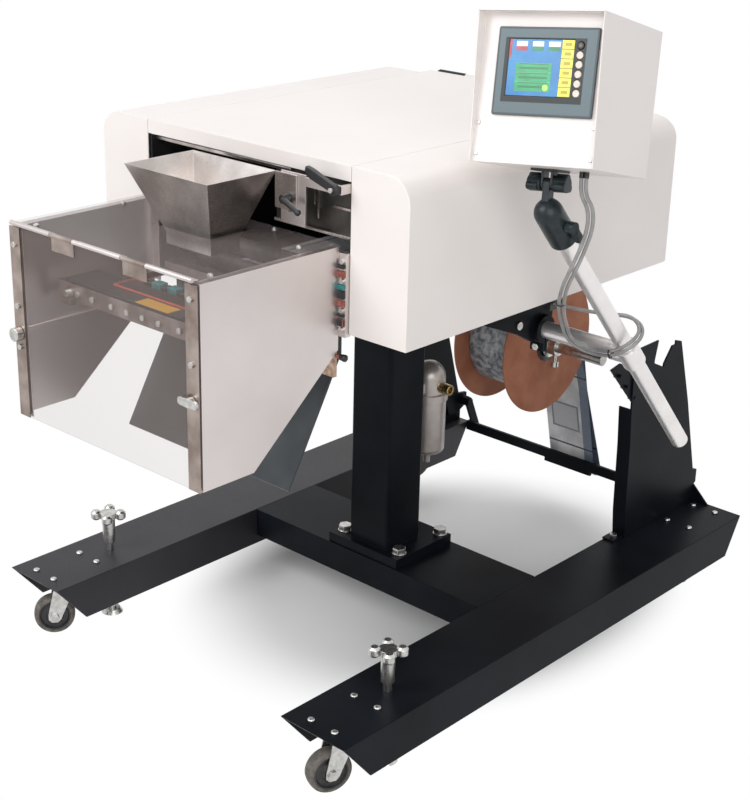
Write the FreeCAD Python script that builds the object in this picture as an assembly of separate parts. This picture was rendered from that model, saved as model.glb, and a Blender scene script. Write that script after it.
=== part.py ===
# Automatic bagging machine on a wheeled stand, in millimetres.
# +Z is up, the floor is z = 0 and x = 0 is the centre line of the machine.
# -Y is the front, where bags are opened and filled. +X is the side of the operator station.
import FreeCAD, Part
import math
import os

V = FreeCAD.Vector

# Clearances
RUN = 0.05
SEAT = 0.3
BOLT_GAP = 0.4

# Legs
LEG_INNER = 304.0
LEG_WIDTH = 146.0
LEG_TOP = 141.0
LEG_HEIGHT = 81.0
LEG_WALL = 5.0
LEG_FRONT = -574.0
LEG_REAR = 665.0
LEG_TOE = 68.0
LEG_HEEL = 47.0
LEG_HEEL_R = 10.0

# Cross beam and column
BEAM_FRONT = -50.0
BEAM_REAR = 127.0
BEAM_HEIGHT = 61.0
FOOT_PLATE_T = 10.0
FOOT_HALF_X = 92.0
FOOT_FRONT = -47.0
FOOT_REAR = 122.0
FOOT_BOLT_X = 74.0
FOOT_BOLT_FRONT = -18.0
FOOT_BOLT_REAR = 108.0
FOOT_BOLT_R = 8.0
FOOT_BOLT_FLATS = 24.0
COLUMN_SIZE = 102.0
COLUMN_WALL = 5.0
COLUMN_EDGE_R = 8.0
COLUMN_MID_Y = 20.0
COLUMN_CAP_T = 8.0
COLUMN_CAP_HALF = 78.0

# Casters
CASTER_X = 377.0
CASTER_FRONT = -495.0
CASTER_REAR = 584.0
WHEEL_R = 40.0
WHEEL_W = 30.0
WHEEL_TYRE = 9.0
CASTER_TRAIL = 28.0
CASTER_PLATE_T = 4.0
CASTER_PLATE_X = 78.0
CASTER_PLATE_Y = 128.0
CASTER_BOLT_X = 54.0
CASTER_BOLT_Y = 104.0
CASTER_BOLT_R = 4.0
CASTER_BOLT_FLATS = 13.0
CASTER_BOLT_HEAD_R = 6.5
RACE_R = 26.0
RACE_H = 8.0
KING_PIN_R = 6.0
FORK_T = 4.0
FORK_GAP = 2.0
AXLE_R = 6.0
CASTERS = {
    "front_near": (1, CASTER_FRONT, (-0.39, -0.92)),
    "front_far": (-1, CASTER_FRONT, (-0.6, -0.8)),
    "rear_near": (1, CASTER_REAR, (0.2, -0.98)),
    "rear_far": (-1, CASTER_REAR, (-0.3, -0.95)),
}

# Jack screws
JACK_X = 377.0
JACK_Y = -388.0
JACK_ROD_R = 8.0
JACK_PAD_R = 22.0
JACK_PAD_H = 9.0
JACK_KNOB_Z = 217.0
JACK_KNOB_R = 13.0
JACK_WEB_R = 17.0
JACK_WEB_H = 12.0
JACK_LOBE_REACH = 24.0
JACK_LOBE_R = 10.5
JACK_LOBE_H = 19.0
JACK_LOBE_EDGE = 4.0
JACK_HUB_R = 12.0
JACK_HUB_Z = 158.0

# Uprights behind the column
UPRIGHT_X = 331.0
UPRIGHT_T = 4.0
UPRIGHT_FRONT = 397.0
UPRIGHT_HEAD_FRONT = 377.0
UPRIGHT_TOP = 558.0
UPRIGHT_FOOT_REAR = 660.0
UPRIGHT_HEEL = 180.0
UPRIGHT_KNEE_Y = 598.0
UPRIGHT_KNEE_Z = 393.0
UPRIGHT_FLANGE = 27.0
UPRIGHT_BOLT_R = 5.0
UPRIGHT_BOLT_FLATS = 14.5
UPRIGHT_BOLT_Y = UPRIGHT_FRONT - 20.0
UPRIGHT_SCREWS = ((389.0, 455.0), (359.0, 486.0), (331.0, 516.0))
UPRIGHT_SCREW_R = 3.5
GUSSET_REACH = 41.0
BAR_T = 6.0

# Head
HEAD_HALF = 373.0
HEAD_BAY = 248.0
HEAD_FRONT = -364.0
HEAD_REAR = 410.0
HEAD_BOTTOM = 748.0
HEAD_TOP = 1029.0
COVER_T = 3.0
COVER_TOP_R = 45.0
COVER_REAR_R = 30.0
COVER_GAP = 0.5
CHASSIS_T = 5.0
LID_LIP = 26.0
LID_PIN_R = 2.5
LID_BARREL_R = 5.0

# Rollers of the film path
ROLLER_R = 12.0
ROLLER_HALF = 65.0
FEED_ROLLER_R = 16.0
FEED_ROLLER_HALF = HEAD_BAY - 68.0
SHAFT_R = 6.0
FEED_Y = -300.0
INFEED_Y = 500.0
INFEED_Z = 788.0
WEB_T = 1.0
WEB_HALF = 61.0

# Bag roll
ROLL_Y = 452.0
ROLL_Z = 487.0
FILM_R = 108.0
FLANGE_R = 151.0
FLANGE_T = 4.0
FLANGE_IN = 63.0
CORE_R = 38.0
SPINDLE_R = 12.7
SPINDLE_END = 210.0
ROLL_WASHER_R = 28.0
ROLL_WASHER_T = 6.0
COLLAR_R = 20.0
COLLAR_START = 78.0
COLLAR_END = 98.0
COLLAR_SCREW = 46.0
HANGER_X = -96.0
HANGER_T = 8.0

# Dancer
DANCER_PIVOT_X = 300.0
DANCER_PIVOT_Y = 655.0
DANCER_PIVOT_Z = 195.0
DANCER_BAR_Y = 690.0
DANCER_BAR_Z = 116.0
DANCER_BAR_R = 7.0
DANCER_ARM_T = 6.0
DANCER_RAIL_Y = 654.0
DANCER_RAIL_T = 8.0
DANCER_RAIL_LOW = 122.0
DANCER_RAIL_TOP = 145.0
DANCER_RAIL_DROP = 9.0
DANCER_PIN_R = 5.0

# Guard round the sealing bars
GUARD_HALF = HEAD_BAY - 15.0
GUARD_FRONT = -676.0
GUARD_REAR = -372.0
GUARD_BOTTOM = 558.0
GUARD_TOP = 900.0
GUARD_SLANT_Y = -563.0
GUARD_SLANT_Z = 720.0
GUARD_SHEET = 2.5
GUARD_PANE = 4.0
GUARD_STRIP = 27.0
GUARD_HINGE_R = 4.0
GUARD_KNOB_Z = 709.0
GUARD_TIE_Z = 712.0

# Seal jaw and seal bar
JAW_Y = -606.0
JAW_Z = 778.0
JAW_HALF = GUARD_HALF - 61.0
JAW_BAR_T = 12.0
JAW_ROD_R = 6.0
JAW_ROD_X = JAW_HALF + 20.0
JAW_ROD_LIFT = 9.0
SEAL_BAR_FRONT = -400.0
SEAL_BAR_REAR = -375.0

# Discharge chute
CHUTE_HALF = GUARD_HALF - 25.0
CHUTE_T = 3.0
CHUTE_BACK = HEAD_FRONT + 24.0

# Funnel
FUNNEL_RIM_HALF = 102.0
FUNNEL_RIM_FRONT = -537.0
FUNNEL_RIM_REAR = -386.0
FUNNEL_RIM_Z = 1000.0
FUNNEL_OUT_HALF = 55.0
FUNNEL_OUT_FRONT = -490.0
FUNNEL_OUT_REAR = -425.0
FUNNEL_OUT_Z = 885.0
FUNNEL_NECK = 20.0
FUNNEL_T = 1.5
FUNNEL_EAR_END = 150.0
FUNNEL_TRAVEL = 20.0
FUNNEL_ROOM = 16.0

# Arm and mast
ARM_Y = 105.0
ARM_Z = 661.0
ARM_R = 16.0
ARM_START = 268.0
ARM_CLAMP_IN = 278.0
ARM_CLAMP_OUT = 308.0
ARM_CLAMP_R = 27.0
MAST_X = 492.0
MAST_LEAN = 41.73
MAST_DOWN = 302.0
MAST_UP = 340.0
MAST_R = 15.9
TEE_R = 21.0
TEE_LENGTH = 50.0
MAST_HEAD_R = 24.0
MAST_HEAD_LENGTH = 92.0

# Operator station
BOX_W = 213.0
BOX_H = 229.0
BOX_D = 210.0
BOX_T = 2.0
TILT_PIN = V(486.2, -163.4, 1011.4)
TILT_SHIFT = -14.0
TILT_DEPTH = 114.0
TILT_DROP = 22.0
BOX_YAW = 7.4
BOX_PITCH = 14.7
BOX_ROLL = 5.0
SHEET_BACK = 22.0
BEZEL_MID = 9.0
BEZEL_W = 170.0
BEZEL_H = 133.0
BEZEL_T = 5.0
BEZEL_FACE = SHEET_BACK - BEZEL_T
BEZEL_LOW = -BOX_H / 2 + 73.0
SCREEN_LEFT = BEZEL_MID - 65.0
SCREEN_W = 110.5
SCREEN_LOW = BEZEL_LOW + 29.5
SCREEN_H = 85.5
KEY_COUNT = 6
KEY_R = 5.6
KEY_PITCH = 14.1
KEY_TRAVEL = 1.5
KEY_FLOOR = -0.6

# Air filter
FILTER_X = 12.0
FILTER_Y = 130.0
FILTER_R = 35.0
FILTER_TOP = 495.0
FILTER_BOTTOM = 320.0
AIR_PORT_R = 6.6

# Cables
CABLE_R = 3.2
GLAND_R = 4.0
GLAND_LENGTH = 10.0
GLAND_X = 40.0
GLAND_Y = 117.0
GLAND_GAP = 8.4
CABLE_LEAD = 24.0
CLIP_END = 350.0
CABLE_OUTER = (
    V(548, -140, 978), V(544, -132, 944), V(533, -133, 907), V(517, -133, 870), V(492, -117, 832),
    V(458, -76, 786), V(425, -22, 742), V(404, 20, 708), V(390, 50, 682), V(391, 71, 662),
    V(410, 82, 651), V(440, 78, 653), V(484, 55, 667), V(520, 51, 688), V(530, 80, 706),
    V(514, 103, 721), V(488, 100, 731), V(460, 86, 731), V(426, 78, 729), V(390, 72, 728),
    V(CLIP_END, 72, 728),
)
CABLE_INNER = (
    V(554, -135, 980), V(550, -126, 943), V(538, -127, 905), V(523, -127, 868), V(498, -112, 831),
    V(465, -71, 786), V(432, -18, 742), V(411, 24, 709), V(396, 53, 683), V(399, 70, 668),
    V(416, 82, 660), V(441, 80, 661), V(481, 56, 674), V(514, 52, 693), V(525, 76, 711),
    V(512, 95, 724), V(490, 95, 735), V(463, 78, 734), V(427, 70, 732), V(391, 64, 731),
    V(CLIP_END, 64, 731),
)

PARTS = {}


def keep(name, *solids):
    """Put solids into the node of that name."""
    PARTS.setdefault(name, []).extend(solids)


def block(x0, x1, y0, y1, z0, z1):
    """Box between two corners."""
    low = V(min(x0, x1), min(y0, y1), min(z0, z1))
    return Part.makeBox(abs(x1 - x0), abs(y1 - y0), abs(z1 - z0), low)


def rod(start, end, radius):
    """Round bar from one point to another."""
    run = end - start
    return Part.makeCylinder(radius, run.Length, start, run)


def ring(start, end, outer, inner):
    """Tube from one point to another."""
    return rod(start, end, outer).cut(rod(start, end, inner))


def side_plate(outline, x0, x1):
    """Plate with an outline of (y, z) points, from x0 to x1."""
    wire = Part.makePolygon([V(x0, y, z) for y, z in outline + outline[:1]])
    return Part.Face(wire).extrude(V(x1 - x0, 0, 0))


def front_plate(outline, y0, y1):
    """Plate with an outline of (x, z) points, from y0 to y1."""
    wire = Part.makePolygon([V(x, y0, z) for x, z in outline + outline[:1]])
    return Part.Face(wire).extrude(V(0, y1 - y0, 0))


def hexagon(base, axis, flats, height):
    """Hexagon head or nut that stands on base along axis."""
    corner = flats / math.sqrt(3.0)
    points = [V(corner * math.cos(math.pi / 3 * i), corner * math.sin(math.pi / 3 * i), 0) for i in range(7)]
    solid = Part.Face(Part.makePolygon(points)).extrude(V(0, 0, height))
    turn = FreeCAD.Rotation(V(0, 0, 1), axis)
    solid.Placement = FreeCAD.Placement(base, turn)
    return solid


def rounded(solid, radius, chosen):
    """Fillet the edges that the test picks."""
    edges = [edge for edge in solid.Edges if chosen(edge)]
    return solid.makeFillet(radius, edges)


def along(edge, axis):
    """True for a straight edge that runs along an axis letter."""
    if not isinstance(edge.Curve, Part.Line) and edge.Curve.TypeId != "Part::GeomLine":
        return False
    run = edge.Vertexes[-1].Point - edge.Vertexes[0].Point
    return abs(getattr(run, axis)) > 0.999 * run.Length


def mirrored(solid):
    """The same solid on the other side of x = 0."""
    return solid.mirror(V(0, 0, 0), V(1, 0, 0))


def leg(side):
    """Channel leg, open below and at both ends, with slanted ends."""
    bottom = LEG_TOP - LEG_HEIGHT
    outline = [(LEG_FRONT, LEG_TOP), (LEG_REAR, LEG_TOP), (LEG_REAR - LEG_HEEL, bottom),
               (LEG_FRONT + LEG_TOE, bottom)]
    x0 = LEG_INNER
    x1 = LEG_INNER + LEG_WIDTH
    solid = side_plate(outline, x0, x1)
    hollow = block(x0 + LEG_WALL, x1 - LEG_WALL, LEG_FRONT - 10, LEG_REAR + 10, bottom - 10, LEG_TOP - LEG_WALL)
    solid = solid.cut(hollow)
    for y in (CASTER_FRONT, CASTER_REAR):
        for hole in caster_bolt_places(y):
            solid = solid.cut(rod(hole - V(0, 0, 20), hole + V(0, 0, 20), CASTER_BOLT_R + BOLT_GAP))
    top = V(JACK_X, JACK_Y, LEG_TOP)
    solid = solid.cut(rod(top - V(0, 0, 20), top + V(0, 0, 20), JACK_ROD_R + RUN))
    foot = upright_foot_bolt()
    solid = solid.cut(rod(foot - V(0, 0, 20), foot + V(0, 0, 20), UPRIGHT_BOLT_R + BOLT_GAP))
    return solid if side > 0 else mirrored(solid)


def caster_bolt_places(y):
    """Points on the leg's top where a caster's four bolts go."""
    places = []
    for dx in (-0.5, 0.5):
        for dy in (-0.5, 0.5):
            places.append(V(CASTER_X + dx * CASTER_BOLT_X, y + dy * CASTER_BOLT_Y, LEG_TOP))
    return places


def upright_foot_bolt():
    """Point on the leg's top where the bolt of the upright's foot tab goes."""
    return V(UPRIGHT_X - UPRIGHT_T / 2 - UPRIGHT_FLANGE / 2 + 2.5, UPRIGHT_BOLT_Y, LEG_TOP)


def cross_beam():
    """Channel between the legs, open below, with bolt holes for the column."""
    top = LEG_TOP
    solid = block(-LEG_INNER, LEG_INNER, BEAM_FRONT, BEAM_REAR, top - BEAM_HEIGHT, top)
    inner = block(-LEG_INNER - 1, LEG_INNER + 1, BEAM_FRONT + LEG_WALL, BEAM_REAR - LEG_WALL,
                  top - BEAM_HEIGHT - 1, top - LEG_WALL)
    solid = solid.cut(inner)
    for place in foot_bolt_places():
        solid = solid.cut(rod(place - V(0, 0, 40), place + V(0, 0, 1), FOOT_BOLT_R + BOLT_GAP))
    return solid


def foot_bolt_places():
    """Points on the beam's top where the column's four bolts go."""
    places = []
    for x in (-FOOT_BOLT_X, FOOT_BOLT_X):
        for y in (FOOT_BOLT_FRONT, FOOT_BOLT_REAR):
            places.append(V(x, y, LEG_TOP))
    return places


def column():
    """Square tube welded to a foot plate and a cap plate, on a loose lower plate."""
    half = COLUMN_SIZE / 2
    plate_top = LEG_TOP + 2 * FOOT_PLATE_T
    cap_bottom = HEAD_BOTTOM - COLUMN_CAP_T
    tube = block(-half, half, COLUMN_MID_Y - half, COLUMN_MID_Y + half, plate_top, cap_bottom)
    tube = rounded(tube, COLUMN_EDGE_R, lambda edge: along(edge, "z"))
    bore = half - COLUMN_WALL
    hollow = block(-bore, bore, COLUMN_MID_Y - bore, COLUMN_MID_Y + bore, plate_top, cap_bottom)
    hollow = rounded(hollow, COLUMN_EDGE_R - COLUMN_WALL, lambda edge: along(edge, "z"))
    tube = tube.cut(hollow)
    plates = []
    for low in (LEG_TOP, LEG_TOP + FOOT_PLATE_T):
        plate = block(-FOOT_HALF_X, FOOT_HALF_X, FOOT_FRONT, FOOT_REAR, low, low + FOOT_PLATE_T)
        for place in foot_bolt_places():
            plate = plate.cut(rod(place - V(0, 0, 1), place + V(0, 0, 30), FOOT_BOLT_R + BOLT_GAP))
        plates.append(plate)
    cap = block(-COLUMN_CAP_HALF, COLUMN_CAP_HALF, COLUMN_MID_Y - COLUMN_CAP_HALF,
                COLUMN_MID_Y + COLUMN_CAP_HALF, cap_bottom, HEAD_BOTTOM)
    return [tube.fuse([plates[1], cap]).removeSplitter(), plates[0]]


def bolt(place, radius, flats, grip, washer=True):
    """Hexagon bolt with washer and nut: place is on the upper face, grip reaches down."""
    solids = []
    base = place
    if washer:
        plate = ring(place, place + V(0, 0, 2.5), flats * 0.62, radius + BOLT_GAP)
        solids.append(plate)
        base = place + V(0, 0, 2.5)
    head = hexagon(base, V(0, 0, 1), flats, radius * 1.3)
    shank = rod(place - V(0, 0, grip + radius * 2), base, radius)
    solids.append(head.fuse(shank))
    nut = hexagon(place - V(0, 0, grip + radius * 1.6), V(0, 0, 1), flats, radius * 1.6)
    solids.append(nut.cut(rod(place - V(0, 0, grip + radius * 3), place, radius)))
    return solids


def coach_bolt(place, radius, head_r, flats, grip):
    """Round-headed bolt with a nut: place is on the upper face, grip reaches down."""
    head = rod(place, place + V(0, 0, head_r * 0.6), head_r)
    rim = [edge for edge in head.Edges if edge.BoundBox.ZMin > place.z + 0.1]
    head = head.makeFillet(head_r * 0.45, rim)
    shank = rod(place - V(0, 0, grip + radius * 2), place, radius)
    nut = hexagon(place - V(0, 0, grip + radius * 1.6), V(0, 0, 1), flats, radius * 1.6)
    return [head.fuse(shank), nut.cut(rod(place - V(0, 0, grip + radius * 3), place, radius))]


def base_bolts():
    """Bolts of the column's foot and of the casters, and the jack screws' weld nuts."""
    solids = []
    for place in foot_bolt_places():
        top = place + V(0, 0, 2 * FOOT_PLATE_T)
        solids += bolt(top, FOOT_BOLT_R, FOOT_BOLT_FLATS, 2 * FOOT_PLATE_T + LEG_WALL)
    for side in (1, -1):
        for y in (CASTER_FRONT, CASTER_REAR):
            for place in caster_bolt_places(y):
                spot = V(place.x * side, place.y, place.z)
                solids += coach_bolt(spot, CASTER_BOLT_R, CASTER_BOLT_HEAD_R, CASTER_BOLT_FLATS,
                                     LEG_WALL + CASTER_PLATE_T)
        nut_top = V(side * JACK_X, JACK_Y, LEG_TOP - LEG_WALL)
        nut = hexagon(nut_top - V(0, 0, 12), V(0, 0, 1), 26.0, 12)
        solids.append(nut.cut(rod(nut_top - V(0, 0, 20), nut_top, JACK_ROD_R + RUN)))
    return solids


def caster_plates():
    """Bolted top plates with ball race and king pin."""
    solids = []
    under = LEG_TOP - LEG_WALL
    for side in (1, -1):
        for y in (CASTER_FRONT, CASTER_REAR):
            middle = V(side * CASTER_X, y, under)
            plate = block(middle.x - CASTER_PLATE_X / 2, middle.x + CASTER_PLATE_X / 2,
                          y - CASTER_PLATE_Y / 2, y + CASTER_PLATE_Y / 2, under - CASTER_PLATE_T, under)
            for place in caster_bolt_places(y):
                spot = V(place.x * side, place.y, under)
                plate = plate.cut(rod(spot - V(0, 0, 9), spot, CASTER_BOLT_R + BOLT_GAP))
            race_low = middle - V(0, 0, CASTER_PLATE_T + RACE_H)
            race = Part.makeCone(RACE_R - 3, RACE_R, RACE_H, race_low)
            fork_low = race_low - V(0, 0, SEAT + FORK_T + SEAT)
            pin = rod(fork_low - V(0, 0, 5), race_low + V(0, 0, 1), KING_PIN_R)
            nut = rod(fork_low - V(0, 0, 5), fork_low, KING_PIN_R + 4)
            solids.append(plate.fuse([race, pin, nut]).removeSplitter())
    return solids


def caster(name):
    """Fork with axle, and wheel with tyre, trailing towards the given direction."""
    side, y, trail = CASTERS[name]
    top = LEG_TOP - LEG_WALL - CASTER_PLATE_T - RACE_H - SEAT
    plate_r = RACE_R - 1
    disc = Part.makeCylinder(plate_r, FORK_T, V(0, 0, top - FORK_T))
    inner = WHEEL_W / 2 + FORK_GAP
    cheek = [(-plate_r + 4, top - FORK_T), (plate_r - 2, top - FORK_T), (CASTER_TRAIL + 12, WHEEL_R + 6),
             (CASTER_TRAIL + 12, WHEEL_R - 6), (CASTER_TRAIL + 6, WHEEL_R - 12),
             (CASTER_TRAIL - 6, WHEEL_R - 12), (CASTER_TRAIL - 12, WHEEL_R - 6)]
    cheeks = []
    for low in (inner, -inner - FORK_T * 0.75):
        wire = Part.makePolygon([V(x, low, z) for x, z in cheek + cheek[:1]])
        cheeks.append(Part.Face(wire).extrude(V(0, FORK_T * 0.75, 0)))
    bridge = block(-plate_r + 8, plate_r - 8, -inner - 1, inner + 1, top - FORK_T, top)
    fork = disc.fuse(cheeks + [bridge])
    fork = fork.cut(rod(V(0, 0, top - 20), V(0, 0, top + 1), KING_PIN_R + RUN))
    hub = V(CASTER_TRAIL, 0, WHEEL_R)
    outer = inner + FORK_T * 0.75
    axle = rod(hub - V(0, outer + 4, 0), hub + V(0, outer + 4, 0), AXLE_R)
    heads = [hexagon(hub + V(0, outer, 0), V(0, 1, 0), 16.0, 4), hexagon(hub - V(0, outer, 0), V(0, -1, 0), 16.0, 4)]
    fork = fork.fuse([axle] + heads).removeSplitter()
    half = WHEEL_W / 2
    rim = WHEEL_R - WHEEL_TYRE
    profile = [V(AXLE_R + RUN, 0, half + 1), V(14, 0, half + 1), V(17, 0, half - 5), V(rim - 4, 0, half - 5),
               V(rim, 0, half - 1), V(rim, 0, -half + 1), V(rim - 4, 0, -half + 5), V(17, 0, -half + 5),
               V(14, 0, -half - 1), V(AXLE_R + RUN, 0, -half - 1)]
    core = Part.Face(Part.makePolygon(profile + profile[:1])).revolve(V(0, 0, 0), V(0, 0, 1), 360)
    crown = Part.Wire([
        Part.LineSegment(V(rim, 0, -half + 1), V(rim, 0, half - 1)).toShape(),
        Part.LineSegment(V(rim, 0, half - 1), V(WHEEL_R - 2, 0, half - 3)).toShape(),
        Part.Arc(V(WHEEL_R - 2, 0, half - 3), V(WHEEL_R, 0, 0), V(WHEEL_R - 2, 0, -half + 3)).toShape(),
        Part.LineSegment(V(WHEEL_R - 2, 0, -half + 3), V(rim, 0, -half + 1)).toShape(),
    ])
    tyre = Part.Face(crown).revolve(V(0, 0, 0), V(0, 0, 1), 360)
    lay = FreeCAD.Placement(hub, FreeCAD.Rotation(V(0, 0, 1), V(0, 1, 0)))
    turn = FreeCAD.Placement(V(side * CASTER_X, y, 0), FreeCAD.Rotation(V(1, 0, 0), V(trail[0], trail[1], 0)))
    for solid in (core, tyre):
        solid.Placement = turn.multiply(lay)
    fork.Placement = turn
    return fork, [core, tyre]


def jack(side):
    """Levelling screw: four-lobed knob on a tapered hub, screw rod and floor pad."""
    middle = V(side * JACK_X, JACK_Y, 0)
    up = V(0, 0, 1)
    pad = Part.makeCone(JACK_PAD_R, JACK_PAD_R - 6, JACK_PAD_H, middle)
    stem = rod(middle + up * JACK_PAD_H, middle + up * (JACK_KNOB_Z - 4), JACK_ROD_R)
    foot = pad.fuse(stem)
    hub = Part.makeCone(JACK_HUB_R, JACK_KNOB_R, JACK_KNOB_Z - JACK_HUB_Z, middle + up * JACK_HUB_Z)
    web = rod(middle + up * (JACK_KNOB_Z - JACK_WEB_H / 2), middle + up * (JACK_KNOB_Z + JACK_WEB_H / 2), JACK_WEB_R)
    lobes = []
    for turn in range(4):
        angle = math.radians(45 + 90 * turn)
        reach = V(math.cos(angle), math.sin(angle), 0) * JACK_LOBE_REACH
        low = middle + up * (JACK_KNOB_Z - JACK_LOBE_H / 2) + reach
        lobe = rod(low, low + up * JACK_LOBE_H, JACK_LOBE_R)
        rims = [edge for edge in lobe.Edges if edge.BoundBox.ZLength < 0.1]
        lobes.append(lobe.makeChamfer(JACK_LOBE_EDGE, rims))
    knob = hub.fuse([web] + lobes).removeSplitter()
    knob = knob.cut(rod(middle, middle + up * (JACK_KNOB_Z - 4), JACK_ROD_R))
    return [foot, knob]


def upright(side):
    """Rear upright: notched web, front flange, foot tab, heel gusset and screwed flat bar."""
    x0 = UPRIGHT_X - UPRIGHT_T / 2
    x1 = UPRIGHT_X + UPRIGHT_T / 2
    head = UPRIGHT_HEAD_FRONT
    outline = [(UPRIGHT_FRONT, LEG_TOP), (UPRIGHT_FRONT - 6, 199), (UPRIGHT_FRONT - 10, 349), (head + 4, 431),
               (head, UPRIGHT_TOP), (461, UPRIGHT_TOP + 2), (452, 519), (452, 513), (488, 496), (489, 503),
               (515, 535), (527, 535), (527, 544), (549, 537), (UPRIGHT_KNEE_Y, UPRIGHT_KNEE_Z),
               (UPRIGHT_FOOT_REAR, UPRIGHT_HEEL), (UPRIGHT_FOOT_REAR, LEG_TOP)]
    web = side_plate(outline, x0, x1)
    front = [(UPRIGHT_FRONT, LEG_TOP), (UPRIGHT_FRONT - 6, 199), (UPRIGHT_FRONT - 10, 349), (head + 4, 431),
             (head + 4 + UPRIGHT_T, 431), (UPRIGHT_FRONT - 10 + UPRIGHT_T, 349),
             (UPRIGHT_FRONT - 6 + UPRIGHT_T, 199), (UPRIGHT_FRONT + UPRIGHT_T, LEG_TOP)]
    flange = side_plate(front, x0 - UPRIGHT_FLANGE, x0)
    tab = block(x0 - UPRIGHT_FLANGE, x0, UPRIGHT_FRONT - 37, UPRIGHT_FRONT, LEG_TOP, LEG_TOP + UPRIGHT_T)
    foot = upright_foot_bolt()
    tab = tab.cut(rod(foot - V(0, 0, 1), foot + V(0, 0, 9), UPRIGHT_BOLT_R + BOLT_GAP))
    gusset = front_plate([(x1, UPRIGHT_HEEL), (x1 + GUSSET_REACH, LEG_TOP), (x1, LEG_TOP)],
                         UPRIGHT_FOOT_REAR - UPRIGHT_T, UPRIGHT_FOOT_REAR)
    plate = web.fuse([flange, tab, gusset]).removeSplitter()
    bar = side_plate([(397, 436), (304, 534), (337, 540), (405, 486)], x0 - BAR_T, x0)
    screws = []
    for y, z in UPRIGHT_SCREWS:
        hole = rod(V(x0 - BAR_T - 1, y, z), V(x1 + 1, y, z), UPRIGHT_SCREW_R)
        plate = plate.cut(hole)
        bar = bar.cut(hole)
        head_end = V(x0 - BAR_T - 4, y, z)
        shank = rod(V(x0 - BAR_T, y, z), V(x1 + 2, y, z), UPRIGHT_SCREW_R)
        screws.append(rod(head_end, V(x0 - BAR_T, y, z), UPRIGHT_SCREW_R * 1.8).fuse(shank))
    foot_top = foot + V(0, 0, UPRIGHT_T)
    solids = [plate, bar] + screws
    solids += bolt(foot_top, UPRIGHT_BOLT_R, UPRIGHT_BOLT_FLATS, UPRIGHT_T + LEG_WALL, False)
    solids += dancer_bracket(x0)
    return solids if side > 0 else [mirrored(solid) for solid in solids]


def dancer_bracket(x0):
    """Bracket on the upright with the dancer's pivot pin."""
    inner = DANCER_PIVOT_X + DANCER_ARM_T / 2 + SEAT
    plate = side_plate([(608, 165), (640, 165), (672, 180), (672, 210), (640, 215), (612, 245), (586, 240),
                        (590, 218)], x0 - 8, x0)
    boss = rod(V(inner, DANCER_PIVOT_Y, DANCER_PIVOT_Z), V(x0 - 7, DANCER_PIVOT_Y, DANCER_PIVOT_Z), 12)
    pin_end = DANCER_PIVOT_X - DANCER_ARM_T / 2 - SEAT
    pin = rod(V(pin_end - 3, DANCER_PIVOT_Y, DANCER_PIVOT_Z), V(inner, DANCER_PIVOT_Y, DANCER_PIVOT_Z), DANCER_PIN_R)
    cap = rod(V(pin_end - 3, DANCER_PIVOT_Y, DANCER_PIVOT_Z), V(pin_end, DANCER_PIVOT_Y, DANCER_PIVOT_Z), 9)
    bracket = plate.fuse([boss, pin, cap]).removeSplitter()
    return [bracket]


def chassis():
    """Folded frame of the head: floor, two bulkheads and rear wall with the film slot."""
    t = CHASSIS_T
    bay = HEAD_BAY
    front = HEAD_FRONT + t
    rear = HEAD_REAR - COVER_T - t
    floor = block(-HEAD_HALF + t, HEAD_HALF - t, front, rear, HEAD_BOTTOM, HEAD_BOTTOM + t)
    floor = rounded(floor, COVER_REAR_R, lambda edge: along(edge, "z") and edge.BoundBox.YMin > 0)
    rear_wall = block(-bay, bay, rear, rear + t, HEAD_BOTTOM, HEAD_TOP - COVER_T - 12)
    slot_z = INFEED_Z + ROLLER_R
    rear_wall = rear_wall.cut(block(-WEB_HALF - 9, WEB_HALF + 9, rear - 1, rear + t + 1, slot_z - 11, slot_z + 11))
    walls = []
    wall_top = HEAD_TOP - COVER_T - SEAT
    for side in (1, -1):
        wall = side_plate([(front, HEAD_BOTTOM), (rear, HEAD_BOTTOM), (rear, wall_top), (front, wall_top)],
                          side * (bay - t), side * bay)
        for z in feed_heights():
            wall = wall.cut(rod(V(side * (bay - t - 1), FEED_Y, z), V(side * (bay + 1), FEED_Y, z), SHAFT_R + RUN))
        walls.append(wall)
    barrels = []
    hinge = lid_hinge()
    end = bay - 18
    for x0, x1 in ((-end, -160), (-70, 70), (160, end)):
        barrel = rod(V(x0, hinge.y, hinge.z), V(x1, hinge.y, hinge.z), LID_BARREL_R)
        leaf = block(x0, x1, rear, hinge.y - 1, HEAD_TOP - COVER_T - 20, HEAD_TOP - COVER_T - 14)
        web = block(x0, x1, hinge.y - LID_BARREL_R, hinge.y - LID_BARREL_R + 3, HEAD_TOP - COVER_T - 20, hinge.z)
        barrels += [barrel, leaf, web]
    arms = []
    for side in (1, -1):
        x0 = ROLLER_HALF + 6
        arm = side_plate([(rear + t, INFEED_Z - 26), (INFEED_Y, INFEED_Z - 14), (INFEED_Y + 14, INFEED_Z),
                          (INFEED_Y, INFEED_Z + 14), (rear + t, INFEED_Z + 26)], side * x0, side * (x0 + 6))
        arms.append(arm)
    solid = floor.fuse([rear_wall] + walls + barrels + arms).removeSplitter()
    solid = solid.cut(rod(V(-bay, hinge.y, hinge.z), V(bay, hinge.y, hinge.z), LID_PIN_R))
    clip = block(CLIP_END - 14, CLIP_END, 54, 84, 718, HEAD_BOTTOM)
    shaft = V(0, INFEED_Y, INFEED_Z)
    reach = V(ROLLER_HALF + 14, 0, 0)
    solid = solid.cut(rod(shaft - reach, shaft + reach, SHAFT_R))
    axle = rod(shaft - reach, shaft + reach, SHAFT_R)
    pin = rod(V(-end - 5, hinge.y, hinge.z), V(end + 5, hinge.y, hinge.z), LID_PIN_R)
    return [solid, axle, pin, clip]


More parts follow.
